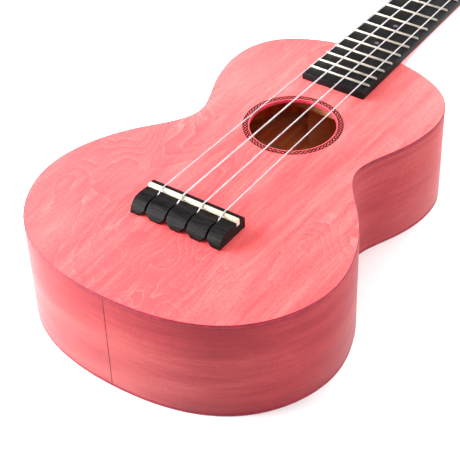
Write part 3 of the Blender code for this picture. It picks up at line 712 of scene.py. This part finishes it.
def side_panels():
    """Two bent panels whose long edges and seam ends are slightly eased."""
    gap, ease = 0.00002, 0.00016
    low, high = BACK_Z + gap, PLATE_LOW_Z - gap
    edge = rounded_edge(low, high, ease, ease, 2)
    section = edge + [(SIDE_THICKNESS, low), (SIDE_THICKNESS, high)]
    half = len(RIM) // 2 + 1
    for name, side in (("left", -1), ("right", 1)):
        columns = []
        for inset, z in section:
            path = rim(inset)[:half]
            path[0] = (SEAM_HALF_GAP, path[0][1])
            path[-1] = (SEAM_HALF_GAP, path[-1][1])
            eased = [path[0], path[0] + (ease, 0), *path[1:-1], path[-1] + (ease, 0), path[-1]]
            columns.append([(side * x, y, z) for x, y in eased])
        stations = [list(ring) for ring in zip(*columns)]
        inner = len(edge)
        for end, shift in ((0, ease), (-1, -ease)):
            for index, (x, y, z) in enumerate(stations[end][:inner]):
                stations[end][index] = (x, y + shift, z)
        bm = bmesh.new()
        loft(bm, stations)
        bm.verts.index_update()
        # The inner face is bare wood. The eased edges and the end at the tail have the seam's colour
        for face in bm.faces:
            places = {v.index % len(section) for v in face.verts}
            stops = {v.index // len(section) for v in face.verts}
            if places <= {inner, inner + 1}:
                face.material_index = 1
            elif places <= {0, 1, 2} or places <= {3, 4, 5} or stops <= {0, 1}:
                face.material_index = 2
        obj = new_object(f"side_{name}_panel", bm, *paints("sides", "inside", "seam"))
        done(obj, "instrument", "stained_sides", f"side_{name}")


def rosette():
    """Two border rings and two crossing waves, inlaid flush round the sound hole."""
    low, high = TOP_Z - 0.0002, TOP_Z + 0.00006
    half_line = ROSETTE_LINE / 2
    half_wave = ROSETTE_WAVE_LINE / 2
    middle = (ROSETTE_INNER + ROSETTE_OUTER) / 2
    swing = (ROSETTE_OUTER - ROSETTE_INNER) / 2 - ROSETTE_LINE - half_wave
    for name, radius, wave in (
        ("rosette_inner_ring", ROSETTE_INNER + half_line, 0),
        ("rosette_outer_ring", ROSETTE_OUTER - half_line, 0),
        ("rosette_wave_one", middle, swing),
        ("rosette_wave_two", middle, -swing),
    ):
        steps = 24 * ROSETTE_PERIODS if wave else 180
        bm = bmesh.new()
        stations = []
        for turn in np.arange(steps) / steps:
            angle = 2 * math.pi * turn
            swell = wave * math.cos(ROSETTE_PERIODS * angle)
            slope = -wave * ROSETTE_PERIODS * math.sin(ROSETTE_PERIODS * angle) / radius
            reach = half_line
            if wave:
                reach = half_wave * min(math.sqrt(1 + slope * slope), 1.6)
            section = []
            for r, z in ((-reach, low), (reach, low), (reach, high), (-reach, high)):
                out = radius + swell + r
                place = (out * math.cos(angle), HOLE_Y + out * math.sin(angle), z)
                section.append(bm.verts.new(place))
            stations.append(section)
        strip_faces(bm, stations + stations[:1])
        done(new_object(name, bm, PAINTS["inlay"]), "instrument", "black_bridge")


# ---- bridge and saddle


def string_x(index, spacing):
    return (index - 1.5) * spacing


def bridge():
    """A carved block: saddle slot, string slots with a knot pocket under each, and a falling back."""
    back = [(-0.0023, 0.0076)]
    back += [(-0.0060, 0.0080), (-0.0095, 0.00823), (-0.0118, 0.0081), (-0.0133, 0.00775)]
    back += [(-0.0147, 0.0070), (-0.0160, 0.0059), (-0.0170, 0.0047), (-0.0178, 0.0035)]
    back += [(-0.0183, 0.0023), (-0.0186, 0.0012), (-0.0186, 0.0)]
    front = [(0.0053, 0.0), (0.0054, 0.0060), (0.0050, 0.0068), (0.0033, 0.0085), (0.0026, 0.0087)]
    front += [(0.0010, 0.0088), (0.0010, 0.0047), (-0.0023, 0.0047)]
    profile = [(SADDLE_Y + y, TOP_Z + z) for y, z in front + back]
    half = BRIDGE_HIGH.x
    obj = skin("bridge_block", drawn(profile, 0, -half, half), PAINTS["bridge"])
    slots, pockets = [], []
    for index in range(len(POSTS)):
        x, reach = string_x(index, SADDLE_SPACING), SLOT_WIDTH / 2
        low, high = (BRIDGE_TAIL_Y, TOP_Z + 0.0010), (SADDLE_Y - 0.0048, TOP_Z + 0.02)
        slots.append(block((x - reach, *low), (x + reach, *high)))
        pockets.append(pocket(x))
    boolean(obj, "DIFFERENCE", pockets)
    boolean(obj, "DIFFERENCE", slots)
    bevelled(obj, 0.00028, 32)
    done(obj, "instrument", "black_bridge", "bridge")


def pocket(x):
    """A knot pocket: wide where it meets the soundboard, drawn in towards the slot above it."""
    rings = []
    for half, z in ((0.0042, TOP_Z - 0.0001), (SLOT_WIDTH / 2 + 0.0004, TOP_Z + 0.0036)):
        near, far = BRIDGE_TAIL_Y, SADDLE_Y - 0.0120
        rings.append([(x - half, near, z), (x + half, near, z), (x + half, far, z), (x - half, far, z)])
    return rings


def saddle():
    """A bar with a rounded crown and eased ends."""
    low, high = SADDLE_LOW, SADDLE_HIGH
    crown_height, ease = 0.0009, 0.0004
    middle, reach = (low.y + high.y) / 2, (high.y - low.y) / 2
    section = [(low.y, low.z), (high.y, low.z)]
    for c, s in arc((0, 0), 1, 0, 180, 13):
        section.append((middle + reach * c, high.z - crown_height + crown_height * s))
    rings = []
    for x, drop in ((-high.x, ease), (ease - high.x, 0), (high.x - ease, 0), (high.x, ease)):
        rings.append([(x, y, z - drop * (z > low.z + 0.001)) for y, z in section])
    done(skin("saddle_bar", rings, PAINTS["saddle"]), "instrument", "cream_saddle", "saddle")


# ---- fingerboard, frets, nut


def board_half(y):
    along = (y - BOARD_END_Y) / (NUT_Y - BOARD_END_Y)
    return BOARD_END_HALF + (BOARD_NUT_HALF - BOARD_END_HALF) * along


def fret_y(number):
    return SADDLE_Y + SCALE_LENGTH * 2 ** (-number / 12)


def fingerboard():
    """A tapered board with eased edges and a pearly dot in four of its spaces."""
    near, far = BOARD_LOW.y, BOARD_HIGH.y
    wide, narrow = board_half(near), board_half(far)

    def outline(inset):
        corner = 0.0006
        loop = []
        corners = ((-wide, near, 180), (wide, near, 270), (narrow, far, 0), (-narrow, far, 90))
        for x, y, turn in corners:
            center = (x - math.copysign(corner, x), y - (corner if y == far else -corner))
            loop += arc(center, corner - inset, turn, turn + 90, 4)
        return loop

    low, high = TOP_Z, BOARD_HIGH.z
    edge = rounded_edge(low, high, 0.0001, 0.00055, 3)
    obj = slab("fingerboard_wood", (outline,), ((edge, 0),), PAINTS["board"])
    done(obj, "instrument", "black_fingerboard", "fingerboard")
    for number in DOT_FRETS:
        y = (fret_y(number) + fret_y(number - 1)) / 2

        def dot(inset, y=y):
            return circle((0, y), DOT_RADIUS - inset, 40)

        edge = rounded_edge(high - 0.0005, high + 0.00005, 0.00002, 0.00003, 1)
        inlay = slab(f"position_dot_{number:02d}", (dot,), ((edge, 0),), PAINTS["pearl"])
        done(inlay, "instrument", "cream_nut")


def frets():
    """Each fret is a low crown on the board whose ends are filed at a slant."""
    top = BOARD_HIGH.z
    for number in range(1, FRET_COUNT + 1):
        node = f"fret_{number:02d}"
        low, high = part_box(node)
        y = (low.y + high.y) / 2
        half_width, height = FRET_CROWN / 2, high.z - top
        section = [(half_width * c, height * s) for c, s in arc((0, 0), 1, 0, 180, 13)]
        rings = []
        inner = (low.x + FRET_SLANT, high.x - FRET_SLANT)
        for x, keep in ((low.x, 0.4), (inner[0], 1), (inner[1], 1), (high.x, 0.4)):
            rings.append([(x, y + cy * (0.7 + 0.3 * keep), top + cz * keep) for cy, cz in section])
        obj = skin(f"fret_wire_{number:02d}", rings, PAINTS["fret"], smooth=50)
        done(obj, "instrument", "fret_wire", node)


def nut():
    """A bar that falls towards the headstock, with a round groove for each string."""
    low, high = NUT_LOW, NUT_HIGH
    section = [(low.y, TOP_Z), (high.y, TOP_Z), (high.y, high.z - 0.0018)]
    section += [(high.y - 0.0007, high.z - 0.0009), (high.y - 0.0020, high.z - 0.0002)]
    section += [(low.y + 0.0012, high.z), (low.y + 0.0003, high.z - 0.0002), (low.y, high.z - 0.0006)]
    obj = skin("nut_bar", drawn(section, 0, low.x, high.x), PAINTS["saddle"])
    grooves, past = [], 0.002
    for index, name in enumerate(POSTS):
        x, radius = string_x(index, NUT_SPACING), STRING_DIAMETERS[name] / 2 + GROOVE_PLAY
        groove = arc((x, NUT_FLOOR_Z + radius), radius, 180, 360, 9)
        groove += [(x + radius, high.z + past), (x - radius, high.z + past)]
        grooves.append(drawn(groove, 1, low.y - past, high.y + past))
    boolean(obj, "DIFFERENCE", grooves)
    bevelled(obj, 0.0002, 40)
    done(obj, "instrument", "cream_nut", "nut")


# ---- neck and headstock

HEEL_LENGTH = 0.048
HEEL_DEPTH = 0.060
HEEL_SWEEP = 4.5
HEEL_ROUNDNESS = 1.25
SHAFT_ROUNDNESS = 1.65
ROUNDNESS_RATE = 2.2
SHAFT_DEPTH_HEEL = 0.0145
SHAFT_DEPTH_NUT = 0.0130
# The neck's root runs into the soundbox and is cut off at its rim
ROOT_LENGTH = 0.010
# The shaft goes on under the headstock and runs out there
RUN_OUT = 0.0120
RUN_OUT_DEPTHS = (0.0140, 0.0108)
RUN_OUT_SINK = 0.0002
SEAT_CLEARANCE = 0.00005


def neck_ring(y, half, depth, top, roundness):
    """Half a superellipse under the flat top of the neck."""
    power = 2 / roundness
    return [
        (half * math.copysign(abs(x) ** power, x), y, top - depth * max(z, 0) ** power)
        for x, z in arc((0, 0), 1, 0, 180, 41)
    ]


def neck_rings():
    rings = [
        neck_ring(JOINT_Y - ROOT_LENGTH, board_half(JOINT_Y), HEEL_DEPTH, TOP_Z, HEEL_ROUNDNESS)
    ]
    for t in np.linspace(0, 1, 41):
        y = JOINT_Y + t * HEEL_LENGTH
        depth = SHAFT_DEPTH_HEEL + (HEEL_DEPTH - SHAFT_DEPTH_HEEL) * (1 - t) ** HEEL_SWEEP
        share = min(ROUNDNESS_RATE * t, 1)
        roundness = HEEL_ROUNDNESS + (SHAFT_ROUNDNESS - HEEL_ROUNDNESS) * share
        rings.append(neck_ring(y, board_half(y), depth, TOP_Z, roundness))
    for t in np.linspace(0, 1, 13)[1:]:
        y = JOINT_Y + HEEL_LENGTH + t * (NUT_Y - JOINT_Y - HEEL_LENGTH)
        depth = SHAFT_DEPTH_HEEL + (SHAFT_DEPTH_NUT - SHAFT_DEPTH_HEEL) * t
        rings.append(neck_ring(y, board_half(y), depth, TOP_Z, SHAFT_ROUNDNESS))
    for t in np.linspace(0, 1, 9):
        past = RUN_OUT * t
        depth = RUN_OUT_DEPTHS[0] + (RUN_OUT_DEPTHS[1] - RUN_OUT_DEPTHS[0]) * t * t
        top = TOP_Z - past * math.tan(HEAD_TILT) - RUN_OUT_SINK * (t > 0)
        rings.append(neck_ring(HEAD_START_Y + past, BOARD_NUT_HALF, depth, top, SHAFT_ROUNDNESS))
    return rings


def head_outline():
    """The headstock seen from the front: a smooth outline with two corners at the nut."""
    tip = HEAD_FACE_LENGTH
    right = [(0.0182, 0.006), (0.0246, 0.0165), (0.0285, 0.032), (0.0294, 0.070)]
    right += [(0.0304, tip - 0.024), (0.0262, tip - 0.0085), (0.0120, tip - 0.0015)]
    smooth = right + [(0, tip)] + [(-x, y) for x, y in reversed(right)]
    curve = bpy.data.curves.new("head_outline", "CURVE")
    curve.dimensions = "2D"
    curve.fill_mode = "NONE"
    curve.resolution_u = 10
    spline = curve.splines.new("BEZIER")
    corners = [(BOARD_NUT_HALF, 0), *smooth, (-BOARD_NUT_HALF, 0)]
    spline.bezier_points.add(len(corners) - 1)
    for point, (x, y) in zip(spline.bezier_points, corners):
        kind = "AUTO" if (x, y) in smooth else "VECTOR"
        point.co = (x, y, 0)
        point.handle_left_type = point.handle_right_type = kind
    spline.use_cyclic_u = True
    obj = bpy.data.objects.new("head_outline", curve)
    bpy.context.scene.collection.objects.link(obj)
    bpy.context.view_layer.update()
    mesh = bpy.data.meshes.new_from_object(obj.evaluated_get(bpy.context.evaluated_depsgraph_get()))
    loop = [tuple(v.co[:2]) for v in mesh.vertices]
    bpy.data.objects.remove(obj)
    return [p for p, q in zip(loop, loop[1:] + loop[:1]) if math.dist(p, q) > 0.0002]


def headstock():
    """The headstock's plate with rounded edges."""
    outline = head_outline()
    edge = rounded_edge(-HEAD_THICKNESS, 0, 0.0012, 0.0012)

    def loop(inset):
        return moved_in(outline, inset)

    return slab("headstock", (loop,), ((edge, 0),), matrix=HEAD_FRAME, smooth=0)


def neck():
    """One piece: heel, shaft and headstock, seated on the sides and bored for the posts."""
    obj = skin("neck_wood", neck_rings(), PAINTS["neck"])
    boolean(obj, "DIFFERENCE", [drawn(rim(-SEAT_CLEARANCE), 2, -0.05, 0.12)])
    boolean(obj, "UNION", headstock())
    places = [HEAD_FRAME.inverted() @ post for post in POSTS.values()]
    bores = [drawn(circle(place[:2], BORE_RADIUS, 32), 2, -0.03, 0.02) for place in places]
    boolean(obj, "DIFFERENCE", bores, HEAD_FRAME)
    repainted(obj.data, PAINTS["neck"])
    done(obj, "instrument", "stained_neck", "neck")


# ---- strings


def bent_route(points, radius=0.0006, steps=4):
    """The route with each corner rounded by a short curve."""
    route = [Vector(p) for p in points]
    made = [route[0]]
    for before, corner, after in zip(route, route[1:], route[2:]):
        back, ahead = before - corner, after - corner
        start = corner + back.normalized() * min(radius, back.length * 0.45)
        end = corner + ahead.normalized() * min(radius, ahead.length * 0.45)
        for t in np.linspace(0, 1, steps + 1):
            made.append(start.lerp(corner, t).lerp(corner.lerp(end, t), t))
    return made + [route[-1]]


def knot(center, size):
    """The route of a small overhand knot."""
    points = []
    for t in np.linspace(0.35, 2 * math.pi + 0.15, 60):
        out = (2 + math.cos(3 * t)) / 3
        place = (out * math.cos(2 * t), 0.6 * math.sin(3 * t), out * math.sin(2 * t))
        points.append(tuple(c + size * p for c, p in zip(center, place)))
    return points


def strings():
    """Each string runs from its knot over saddle and nut to its post. Its turns move with the post."""
    saddle_z = SADDLE_HIGH.z
    for index, name in enumerate(POSTS):
        radius = STRING_DIAMETERS[name] / 2
        saddle_x, nut_x = string_x(index, SADDLE_SPACING), string_x(index, NUT_SPACING)
        post = HEAD_FRAME.inverted() @ POSTS[name]
        side = math.copysign(1, post.x)
        center = np.array(post[:2])
        coil_radius = POST_WAIST + radius
        away = np.array((nut_x, 0)) - center
        first = math.atan2(away[1], away[0]) - side * math.acos(coil_radius / np.linalg.norm(away))

        def round_post(angle, reach, height):
            x, along = center + reach * np.array((math.cos(angle), math.sin(angle)))
            return tuple(HEAD_FRAME @ Vector((x, along, height)))

        route = [
            (saddle_x, KNOT_Y, TOP_Z + 0.0024),
            (saddle_x, SADDLE_Y - 0.0066, TOP_Z + 0.0070),
            (saddle_x, SADDLE_Y - 0.0012, saddle_z + radius * 0.95),
            (saddle_x, SADDLE_Y + 0.0001, saddle_z + radius * 0.97),
            (nut_x, NUT_Y, NUT_FLOOR_Z + radius),
            (nut_x, NUT_HIGH.y - 0.0002, NUT_FLOOR_Z + radius * 0.95),
            round_post(first, coil_radius, COIL_LOW),
        ]
        string = wire(f"string_{name}_wire", bent_route(route), radius, PAINTS["nylon"])
        done(string, "instrument", "nylon", f"string_{name}")
        tied = knot((saddle_x, KNOT_Y, TOP_Z + 0.0016), KNOT_SIZE)
        lump = wire(f"string_{name}_knot", tied, 0.8 * radius, PAINTS["nylon"], sides=10)
        done(lump, "instrument", "nylon")
        turns = []
        for step in range(int((COIL_TURNS + COIL_LEAD) * COIL_STEPS)):
            turn = step / COIL_STEPS - COIL_LEAD
            angle = first - side * turn * 2 * math.pi
            turns.append(round_post(angle, coil_radius, COIL_LOW + COIL_PITCH * max(turn, 0)))
        inward = angle - side * 0.9
        turns += [round_post(inward, reach, POST_HOLE) for reach in (0.0018, 0, -0.0020, -0.0036)]
        turns.append(round_post(inward, -0.0060, POST_HOLE + 0.0006))
        winding = wire(f"string_{name}_winding", turns, radius, PAINTS["nylon"])
        done(winding, f"tuner_{name}_post_body", "nylon")


# ---- tuning machines

MACHINE_PLATE = 0.0009
MACHINE_PLATE_LOW = -HEAD_THICKNESS - 0.0003 - MACHINE_PLATE
WORM_LEAD = 0.0020
GEAR_TEETH = 14
GEAR_TIP_RADIUS = 0.0050
GEAR_ROOT_RADIUS = 0.0036
GEAR_THICKNESS = 0.0020
GEAR_BORE = 0.00205
WORM_CREST = 0.00265
WORM_ROOT = 0.0014
# Where a flank of the thread ends and how wide it is, as shares of the lead from the crest's middle
WORM_FLANK_END = 0.30
WORM_FLANK = 0.20
WORM_HALF_LENGTH = 0.0036
WORM_STEPS = 74
SHAFT_RADIUS = 0.0015
SHAFT_INNER_END = 0.0066
SHAFT_OUTER_END = 0.0130
SHAFT_EASE = 0.0003
EAR_X = 0.0056
EAR_THICKNESS = 0.0012
EAR_HALF = 0.0030
EAR_BORE = 0.0016
# Half a tooth, from its root to its top, as (radius, share of the tooth's step from its middle)
GEAR_FLANK = (
    (GEAR_ROOT_RADIUS, 0.30),
    (0.0043, 0.21),
    (GEAR_TIP_RADIUS - 0.0001, 0.12),
    (GEAR_TIP_RADIUS, 0.06),
)
# A screw head's profile and its cross slot, as shares of its radius
SCREW_DOME = (
    *((0, 0.40), (0.35, 0.385), (0.65, 0.32), (0.88, 0.20), (1.0, 0.05)),
    *((1.0, 0), (0.55, 0), (0.5, -0.5), (0, -0.5)),
)
SCREW_SLOT = (0.62, 0.11, 0.16)
# The machine plate has two round shoulders above the post and one round foot below it
PLATE_SHOULDER = (0.0034, 0.0110)
PLATE_SHOULDER_RADIUS = 0.0030
PLATE_FOOT_Y = -0.0065
PLATE_FOOT_RADIUS = 0.0045
PLATE_SCREW_YS = (0.0120, -0.0085)
PLATE_SCREW_RADIUS = 0.0017
WHEEL_SCREW_RADIUS = 0.0024
# The button's cross-sections, as (place along the shaft, half width, half thickness)
BUTTON_STATIONS = (
    (0.0133, 0.0024, 0.0024),
    (0.0137, 0.0028, 0.0028),
    (0.0152, 0.0027, 0.0026),
    (0.0160, 0.0040, 0.0030),
    (0.0172, 0.0060, 0.0036),
    (0.0195, 0.0076, 0.0041),
    (0.0230, 0.0082, 0.0042),
    (0.0258, 0.0073, 0.0038),
    (0.0273, 0.0056, 0.0030),
    (0.0279, 0.0034, 0.0018),
)
# The oval's swelling across its width and its thickness. 1 is a plain ellipse
BUTTON_POWERS = (0.9, 0.8)


def screw_head(name, place, matrix, radius, body):
    """A domed cross-head screw, its head standing off a face that looks back."""
    profile = [(radius * r, radius * h) for r, h in SCREW_DOME]
    obj = lathe(name, profile, 24, PAINTS["steel"])
    long, short, bottom = (radius * share for share in SCREW_SLOT)
    for x, y in ((long, short), (short, long)):
        boolean(obj, "DIFFERENCE", [block((-x, -y, bottom), (x, y, radius))])
    flip = Matrix.Rotation(math.pi, 4, "X")
    obj.matrix_world = matrix @ Matrix.Translation(place) @ flip
    done(obj, body, "plated_steel")


def machine_plate(name, matrix, worm):
    """The plate on the back of the headstock, with two ears that carry the worm shaft."""
    low, high = MACHINE_PLATE_LOW, MACHINE_PLATE_LOW + MACHINE_PLATE

    def outline(inset):
        x, y = PLATE_SHOULDER
        loop = arc((x, y), PLATE_SHOULDER_RADIUS - inset, 0, 90, 8)
        loop += arc((-x, y), PLATE_SHOULDER_RADIUS - inset, 90, 180, 8)
        return loop + arc((0, PLATE_FOOT_Y), PLATE_FOOT_RADIUS - inset, 180, 360, 24)

    def bore(inset):
        return circle((0, 0), BORE_RADIUS + inset, 32)

    edges = [(rounded_edge(low, high, 0.0003, 0.0001, 3), 0)] * 2
    obj = slab(f"tuner_{name}_base", (outline, bore), edges, PAINTS["plate"], matrix=matrix)
    section = arc((worm.y, worm.z), EAR_HALF, 180, 360, 20)
    section += [(worm.y + EAR_HALF, low + 0.0004), (worm.y - EAR_HALF, low + 0.0004)]
    half = EAR_THICKNESS / 2
    for x in (-EAR_X, EAR_X):
        boolean(obj, "UNION", [drawn(section, 0, x - half, x + half)], matrix)
    bore_rings = drawn(circle((worm.y, worm.z), EAR_BORE, 24), 0, -0.01, 0.01)
    boolean(obj, "DIFFERENCE", [bore_rings], matrix)
    repainted(obj.data, PAINTS["plate"])
    done(obj, "instrument", "plated_plate", f"tuner_{name}_plate")
    for number, y in enumerate(PLATE_SCREW_YS, 1):
        screw = f"tuner_{name}_screw_{number}"
        screw_head(screw, (0, y, low), matrix, PLATE_SCREW_RADIUS, "instrument")


def string_post(name, matrix, body, gear_z):
    """A post with a rounded top, a waist for the string, a hole through it and a thin lower end."""
    low, shoulder = gear_z - GEAR_THICKNESS, gear_z + POST_SHOULDER
    profile = [(0, POST_TOP), (0.0012, POST_TOP), (0.0021, POST_TOP - 0.0001)]
    profile += [(0.0027, POST_TOP - 0.0005), (POST_RADIUS, POST_TOP - 0.0012)]
    profile += [(POST_RADIUS, 0.0099), (0.0029, 0.0096), (POST_WAIST, 0.0091)]
    profile += [(POST_WAIST, 0.0031), (0.0028, 0.0026), (POST_RADIUS, 0.0023)]
    profile += [(POST_RADIUS, shoulder), (POST_CORE, shoulder), (POST_CORE, low), (0, low)]
    post = lathe(f"tuner_{name}_string_post", profile, 40, PAINTS["steel"], matrix=matrix)
    drill = drawn(circle((0, POST_HOLE), POST_HOLE_RADIUS, 16), 0, -0.006, 0.006)
    boolean(post, "DIFFERENCE", [drill], matrix)
    done(post, body, "plated_steel", f"tuner_{name}_post")


def bushing(name, matrix):
    """The press-in collar that guides the post through the headstock's face."""
    collar = [(0.00315, 0.0014), (0.0036, 0.0015), (0.0044, 0.0013), (0.0050, 0.0006)]
    collar += [(0.0052, 0), (0.00335, 0), (0.00335, -0.006), (0.00315, -0.006)]
    bm = bmesh.new()
    rings = [[bm.verts.new(point) for point in round_ring(r, z, 40)] for r, z in collar]
    strip_faces(bm, rings + rings[:1])
    obj = new_object(f"tuner_{name}_bushing", bm, PAINTS["plate"], matrix=matrix)
    done(obj, "instrument", "plated_plate")


def worm_wheel(name, matrix, body, gear_z):
    """The brass wheel on the post's lower end, held by its screw."""
    step = 360 / GEAR_TEETH
    tooth = [(r, -share) for r, share in GEAR_FLANK] + list(reversed(GEAR_FLANK))

    def outline(inset):
        loop = []
        for middle in 90 + (np.arange(GEAR_TEETH) + 0.5) * step:
            for radius, share in tooth:
                loop += arc((0, 0), radius - inset, middle + share * step, 0, 1)
        return loop

    def bore(inset):
        return circle((0, 0), GEAR_BORE + inset, 32)

    half = GEAR_THICKNESS / 2
    edges = [(rounded_edge(gear_z - half, gear_z + half, 0.00015, 0.00015, 2), 0)] * 2
    wheel = slab(f"tuner_{name}_wheel", (outline, bore), edges, PAINTS["brass"], matrix=matrix)
    done(wheel, body, "brass_gear", f"tuner_{name}_gear")
    place = (0, 0, gear_z - GEAR_THICKNESS)
    screw_head(f"tuner_{name}_wheel_screw", place, matrix, WHEEL_SCREW_RADIUS, body)


def worm_radius(x, angle):
    """A single right-hand thread with sloping flanks, its crest facing the wheel at x = 0."""
    phase = (x / WORM_LEAD - angle / (2 * math.pi)) % 1
    share = min(max((WORM_FLANK_END - abs(phase - 0.5)) / WORM_FLANK, 0), 1)
    return WORM_ROOT + (WORM_CREST - WORM_ROOT) * share


def worm_shaft(name, side, matrix, body):
    """The button's shaft with the worm cut into its middle."""
    angles = np.linspace(0, 2 * math.pi, 32, endpoint=False)
    low, high = sorted((-side * SHAFT_INNER_END, side * SHAFT_OUTER_END))

    def ring(x, radii):
        return [(x, r * math.cos(a), r * math.sin(a)) for r, a in zip(radii, angles)]

    def plain(x, radius):
        return ring(x, [radius] * len(angles))

    rings = [plain(low, SHAFT_RADIUS - SHAFT_EASE), plain(low + SHAFT_EASE, SHAFT_RADIUS)]
    rings.append(plain(-WORM_HALF_LENGTH, SHAFT_RADIUS))
    for x in np.linspace(-WORM_HALF_LENGTH, WORM_HALF_LENGTH, WORM_STEPS)[1:-1]:
        rings.append(ring(x, [worm_radius(x, a) for a in angles]))
    rings += [plain(WORM_HALF_LENGTH, SHAFT_RADIUS), plain(high - SHAFT_EASE, SHAFT_RADIUS)]
    rings.append(plain(high, SHAFT_RADIUS - SHAFT_EASE))
    obj = skin(f"tuner_{name}_worm", rings, PAINTS["steel"], matrix=matrix)
    done(obj, body, "plated_steel", f"tuner_{name}_worm_shaft")


def button(name, side, matrix, body):
    """The oval grip on the end of the shaft, smoothed once."""

    def swollen(value, power):
        return math.copysign(abs(value) ** power, value)

    angles = np.linspace(0, 2 * math.pi, 24, endpoint=False)
    rings = []
    for x, wide, thick in BUTTON_STATIONS:
        ring = []
        for a in angles:
            y = wide * swollen(math.cos(a), BUTTON_POWERS[0])
            z = thick * swollen(math.sin(a), BUTTON_POWERS[1])
            ring.append((side * x, y, z))
        rings.append(ring)
    obj = skin(f"tuner_{name}_grip", rings, PAINTS["button"], matrix=matrix)
    smooth = obj.modifiers.new("smooth", "SUBSURF")
    smooth.levels = smooth.render_levels = 1
    settle(obj, 50)
    done(obj, body, "button_plastic", f"tuner_{name}_button")


def tuners():
    """Four open-geared machines. Each stands in a frame at its post, turned with the headstock."""
    for name, post in POSTS.items():
        matrix = Matrix.Translation(post) @ Matrix.Rotation(-HEAD_TILT, 4, "X")
        worm = matrix.inverted() @ Vector(JOINTS[f"tuner_{name}_knob_turn"]["pos_m"])
        knob_matrix = matrix @ Matrix.Translation(worm)
        side = math.copysign(1, post.x)
        post_body, knob_body = f"tuner_{name}_post_body", f"tuner_{name}_knob_body"
        machine_plate(name, matrix, worm)
        string_post(name, matrix, post_body, worm.z)
        bushing(name, matrix)
        worm_wheel(name, matrix, post_body, worm.z)
        worm_shaft(name, side, knob_matrix, knob_body)
        button(name, side, knob_matrix, knob_body)


# ---- pieces that keep their CAD shape


def repaint_inside():
    """The linings, blocks, braces and bridge patch are unfinished wood."""
    for name, node in frame["nodes"].items():
        if any(word in name for word in ("lining", "block", "brace", "patch")):
            repainted(node.data, PAINTS["blocks"])


# ---- studio

CAMERA_PLACE = Vector((0.35769, SADDLE_Y - 0.45490, TOP_Z + 0.46743))
# How far the camera turns left of +Y, looks down and rolls, in radians
CAMERA_TURN, CAMERA_DIP, CAMERA_ROLL = 0.633523, 0.693144, -0.037421
SENSOR_WIDTH = 36
LENS_LENGTH = 106.94896


def camera():
    """A long lens from the lower right of the tail, looking down at the bridge."""
    level = math.cos(CAMERA_DIP)
    ahead = Vector(
        (-math.sin(CAMERA_TURN) * level, math.cos(CAMERA_TURN) * level, -math.sin(CAMERA_DIP))
    )
    flat = ahead.cross(Vector((0, 0, 1))).normalized()
    over = flat.cross(ahead)
    right = flat * math.cos(CAMERA_ROLL) + over * math.sin(CAMERA_ROLL)
    up = over * math.cos(CAMERA_ROLL) - flat * math.sin(CAMERA_ROLL)
    lens = bpy.data.cameras.new("camera")
    lens.sensor_width = SENSOR_WIDTH
    lens.lens = LENS_LENGTH
    lens.clip_start = 0.01
    obj = bpy.data.objects.new("camera", lens)
    turned = Matrix((right, up, -ahead)).transposed().to_4x4()
    obj.matrix_world = Matrix.Translation(CAMERA_PLACE) @ turned
    bpy.context.scene.collection.objects.link(obj)
    bpy.context.scene.camera = obj


def softbox(name, place, target, size, power):
    light = bpy.data.lights.new(name, "AREA")
    light.shape = "RECTANGLE"
    light.size, light.size_y = size
    light.energy = power
    obj = bpy.data.objects.new(name, light)
    obj.location = place
    obj.rotation_euler = (target - place).to_track_quat("-Z", "Y").to_euler()
    bpy.context.scene.collection.objects.link(obj)


# The lights aim at the soundboard between bridge and hole: name, place from there, size, power
LIGHTS = (
    ("overhead", (-0.3, 0.2, 2.0), (2.2, 2.2), 12),
    ("near_left", (-1.0, -0.27, 0.45), (0.8, 0.6), 45),
    ("low_left", (-1.13, -0.9, 0.35), (0.8, 0.6), 46),
    ("right_panel", (1.5, 0.35, 0.5), (0.8, 0.9), 36),
    ("far_left", (-1.5, 1.2, 1.2), (1.2, 1.2), 4),
    ("back_panel", (0.3, 2.0, 0.8), (1.6, 0.8), 50),
    ("front_fill", (0.65, -0.9, 1.15), (0.5, 0.5), 4),
)
# The sky is white at the horizon and dim overhead: heights and strengths
HORIZON_GLOW = (0.03, 0.15, 1.05, 0.07)
FLOOR_RADIUS = 1.2
FLOOR_DROP = 0.0002
FLOOR_GLOW = 0.065


def studio():
    """A pale floor under large soft lights."""
    scene = bpy.context.scene
    scene.view_settings.view_transform = "Standard"
    world = bpy.data.worlds.new("studio")
    world.use_nodes = True
    nodes, links = world.node_tree.nodes, world.node_tree.links
    direction = nodes.new("ShaderNodeTexCoord")
    parts = nodes.new("ShaderNodeSeparateXYZ")
    glow = nodes.new("ShaderNodeMapRange")
    for socket, value in zip(("From Min", "From Max", "To Min", "To Max"), HORIZON_GLOW):
        glow.inputs[socket].default_value = value
    links.new(direction.outputs["Generated"], parts.inputs[0])
    links.new(parts.outputs["Z"], glow.inputs["Value"])
    links.new(glow.outputs["Result"], nodes["Background"].inputs["Strength"])
    nodes["Background"].inputs["Color"].default_value = (1, 1, 1, 1)
    scene.world = world
    aim = Vector((0, SADDLE_Y + 0.05, TOP_Z))
    for name, place, size, power in LIGHTS:
        softbox(name, aim + Vector(place), aim, size, power)
    bm = bmesh.new()
    bmesh.ops.create_circle(bm, cap_ends=True, segments=96, radius=FLOOR_RADIUS)
    paint = Paint("floor", 0.8, Emission_Color=(1, 1, 1, 1), Emission_Strength=FLOOR_GLOW)
    tint = paint.noise(paint.stretched(EVEN), 3, 2)
    paint.color(paint.ramp(tint, (0.3, (0.86, 0.86, 0.86)), (0.7, (0.88, 0.88, 0.88))))
    floor = new_object("floor", bm, paint.material, smooth=0)
    floor.location.z = -FLOOR_DROP


# ---- the ukulele

camera()
studio()
soundboard()
back_plate()
side_panels()
rosette()
bridge()
saddle()
fingerboard()
frets()
nut()
neck()
strings()
tuners()
repaint_inside()
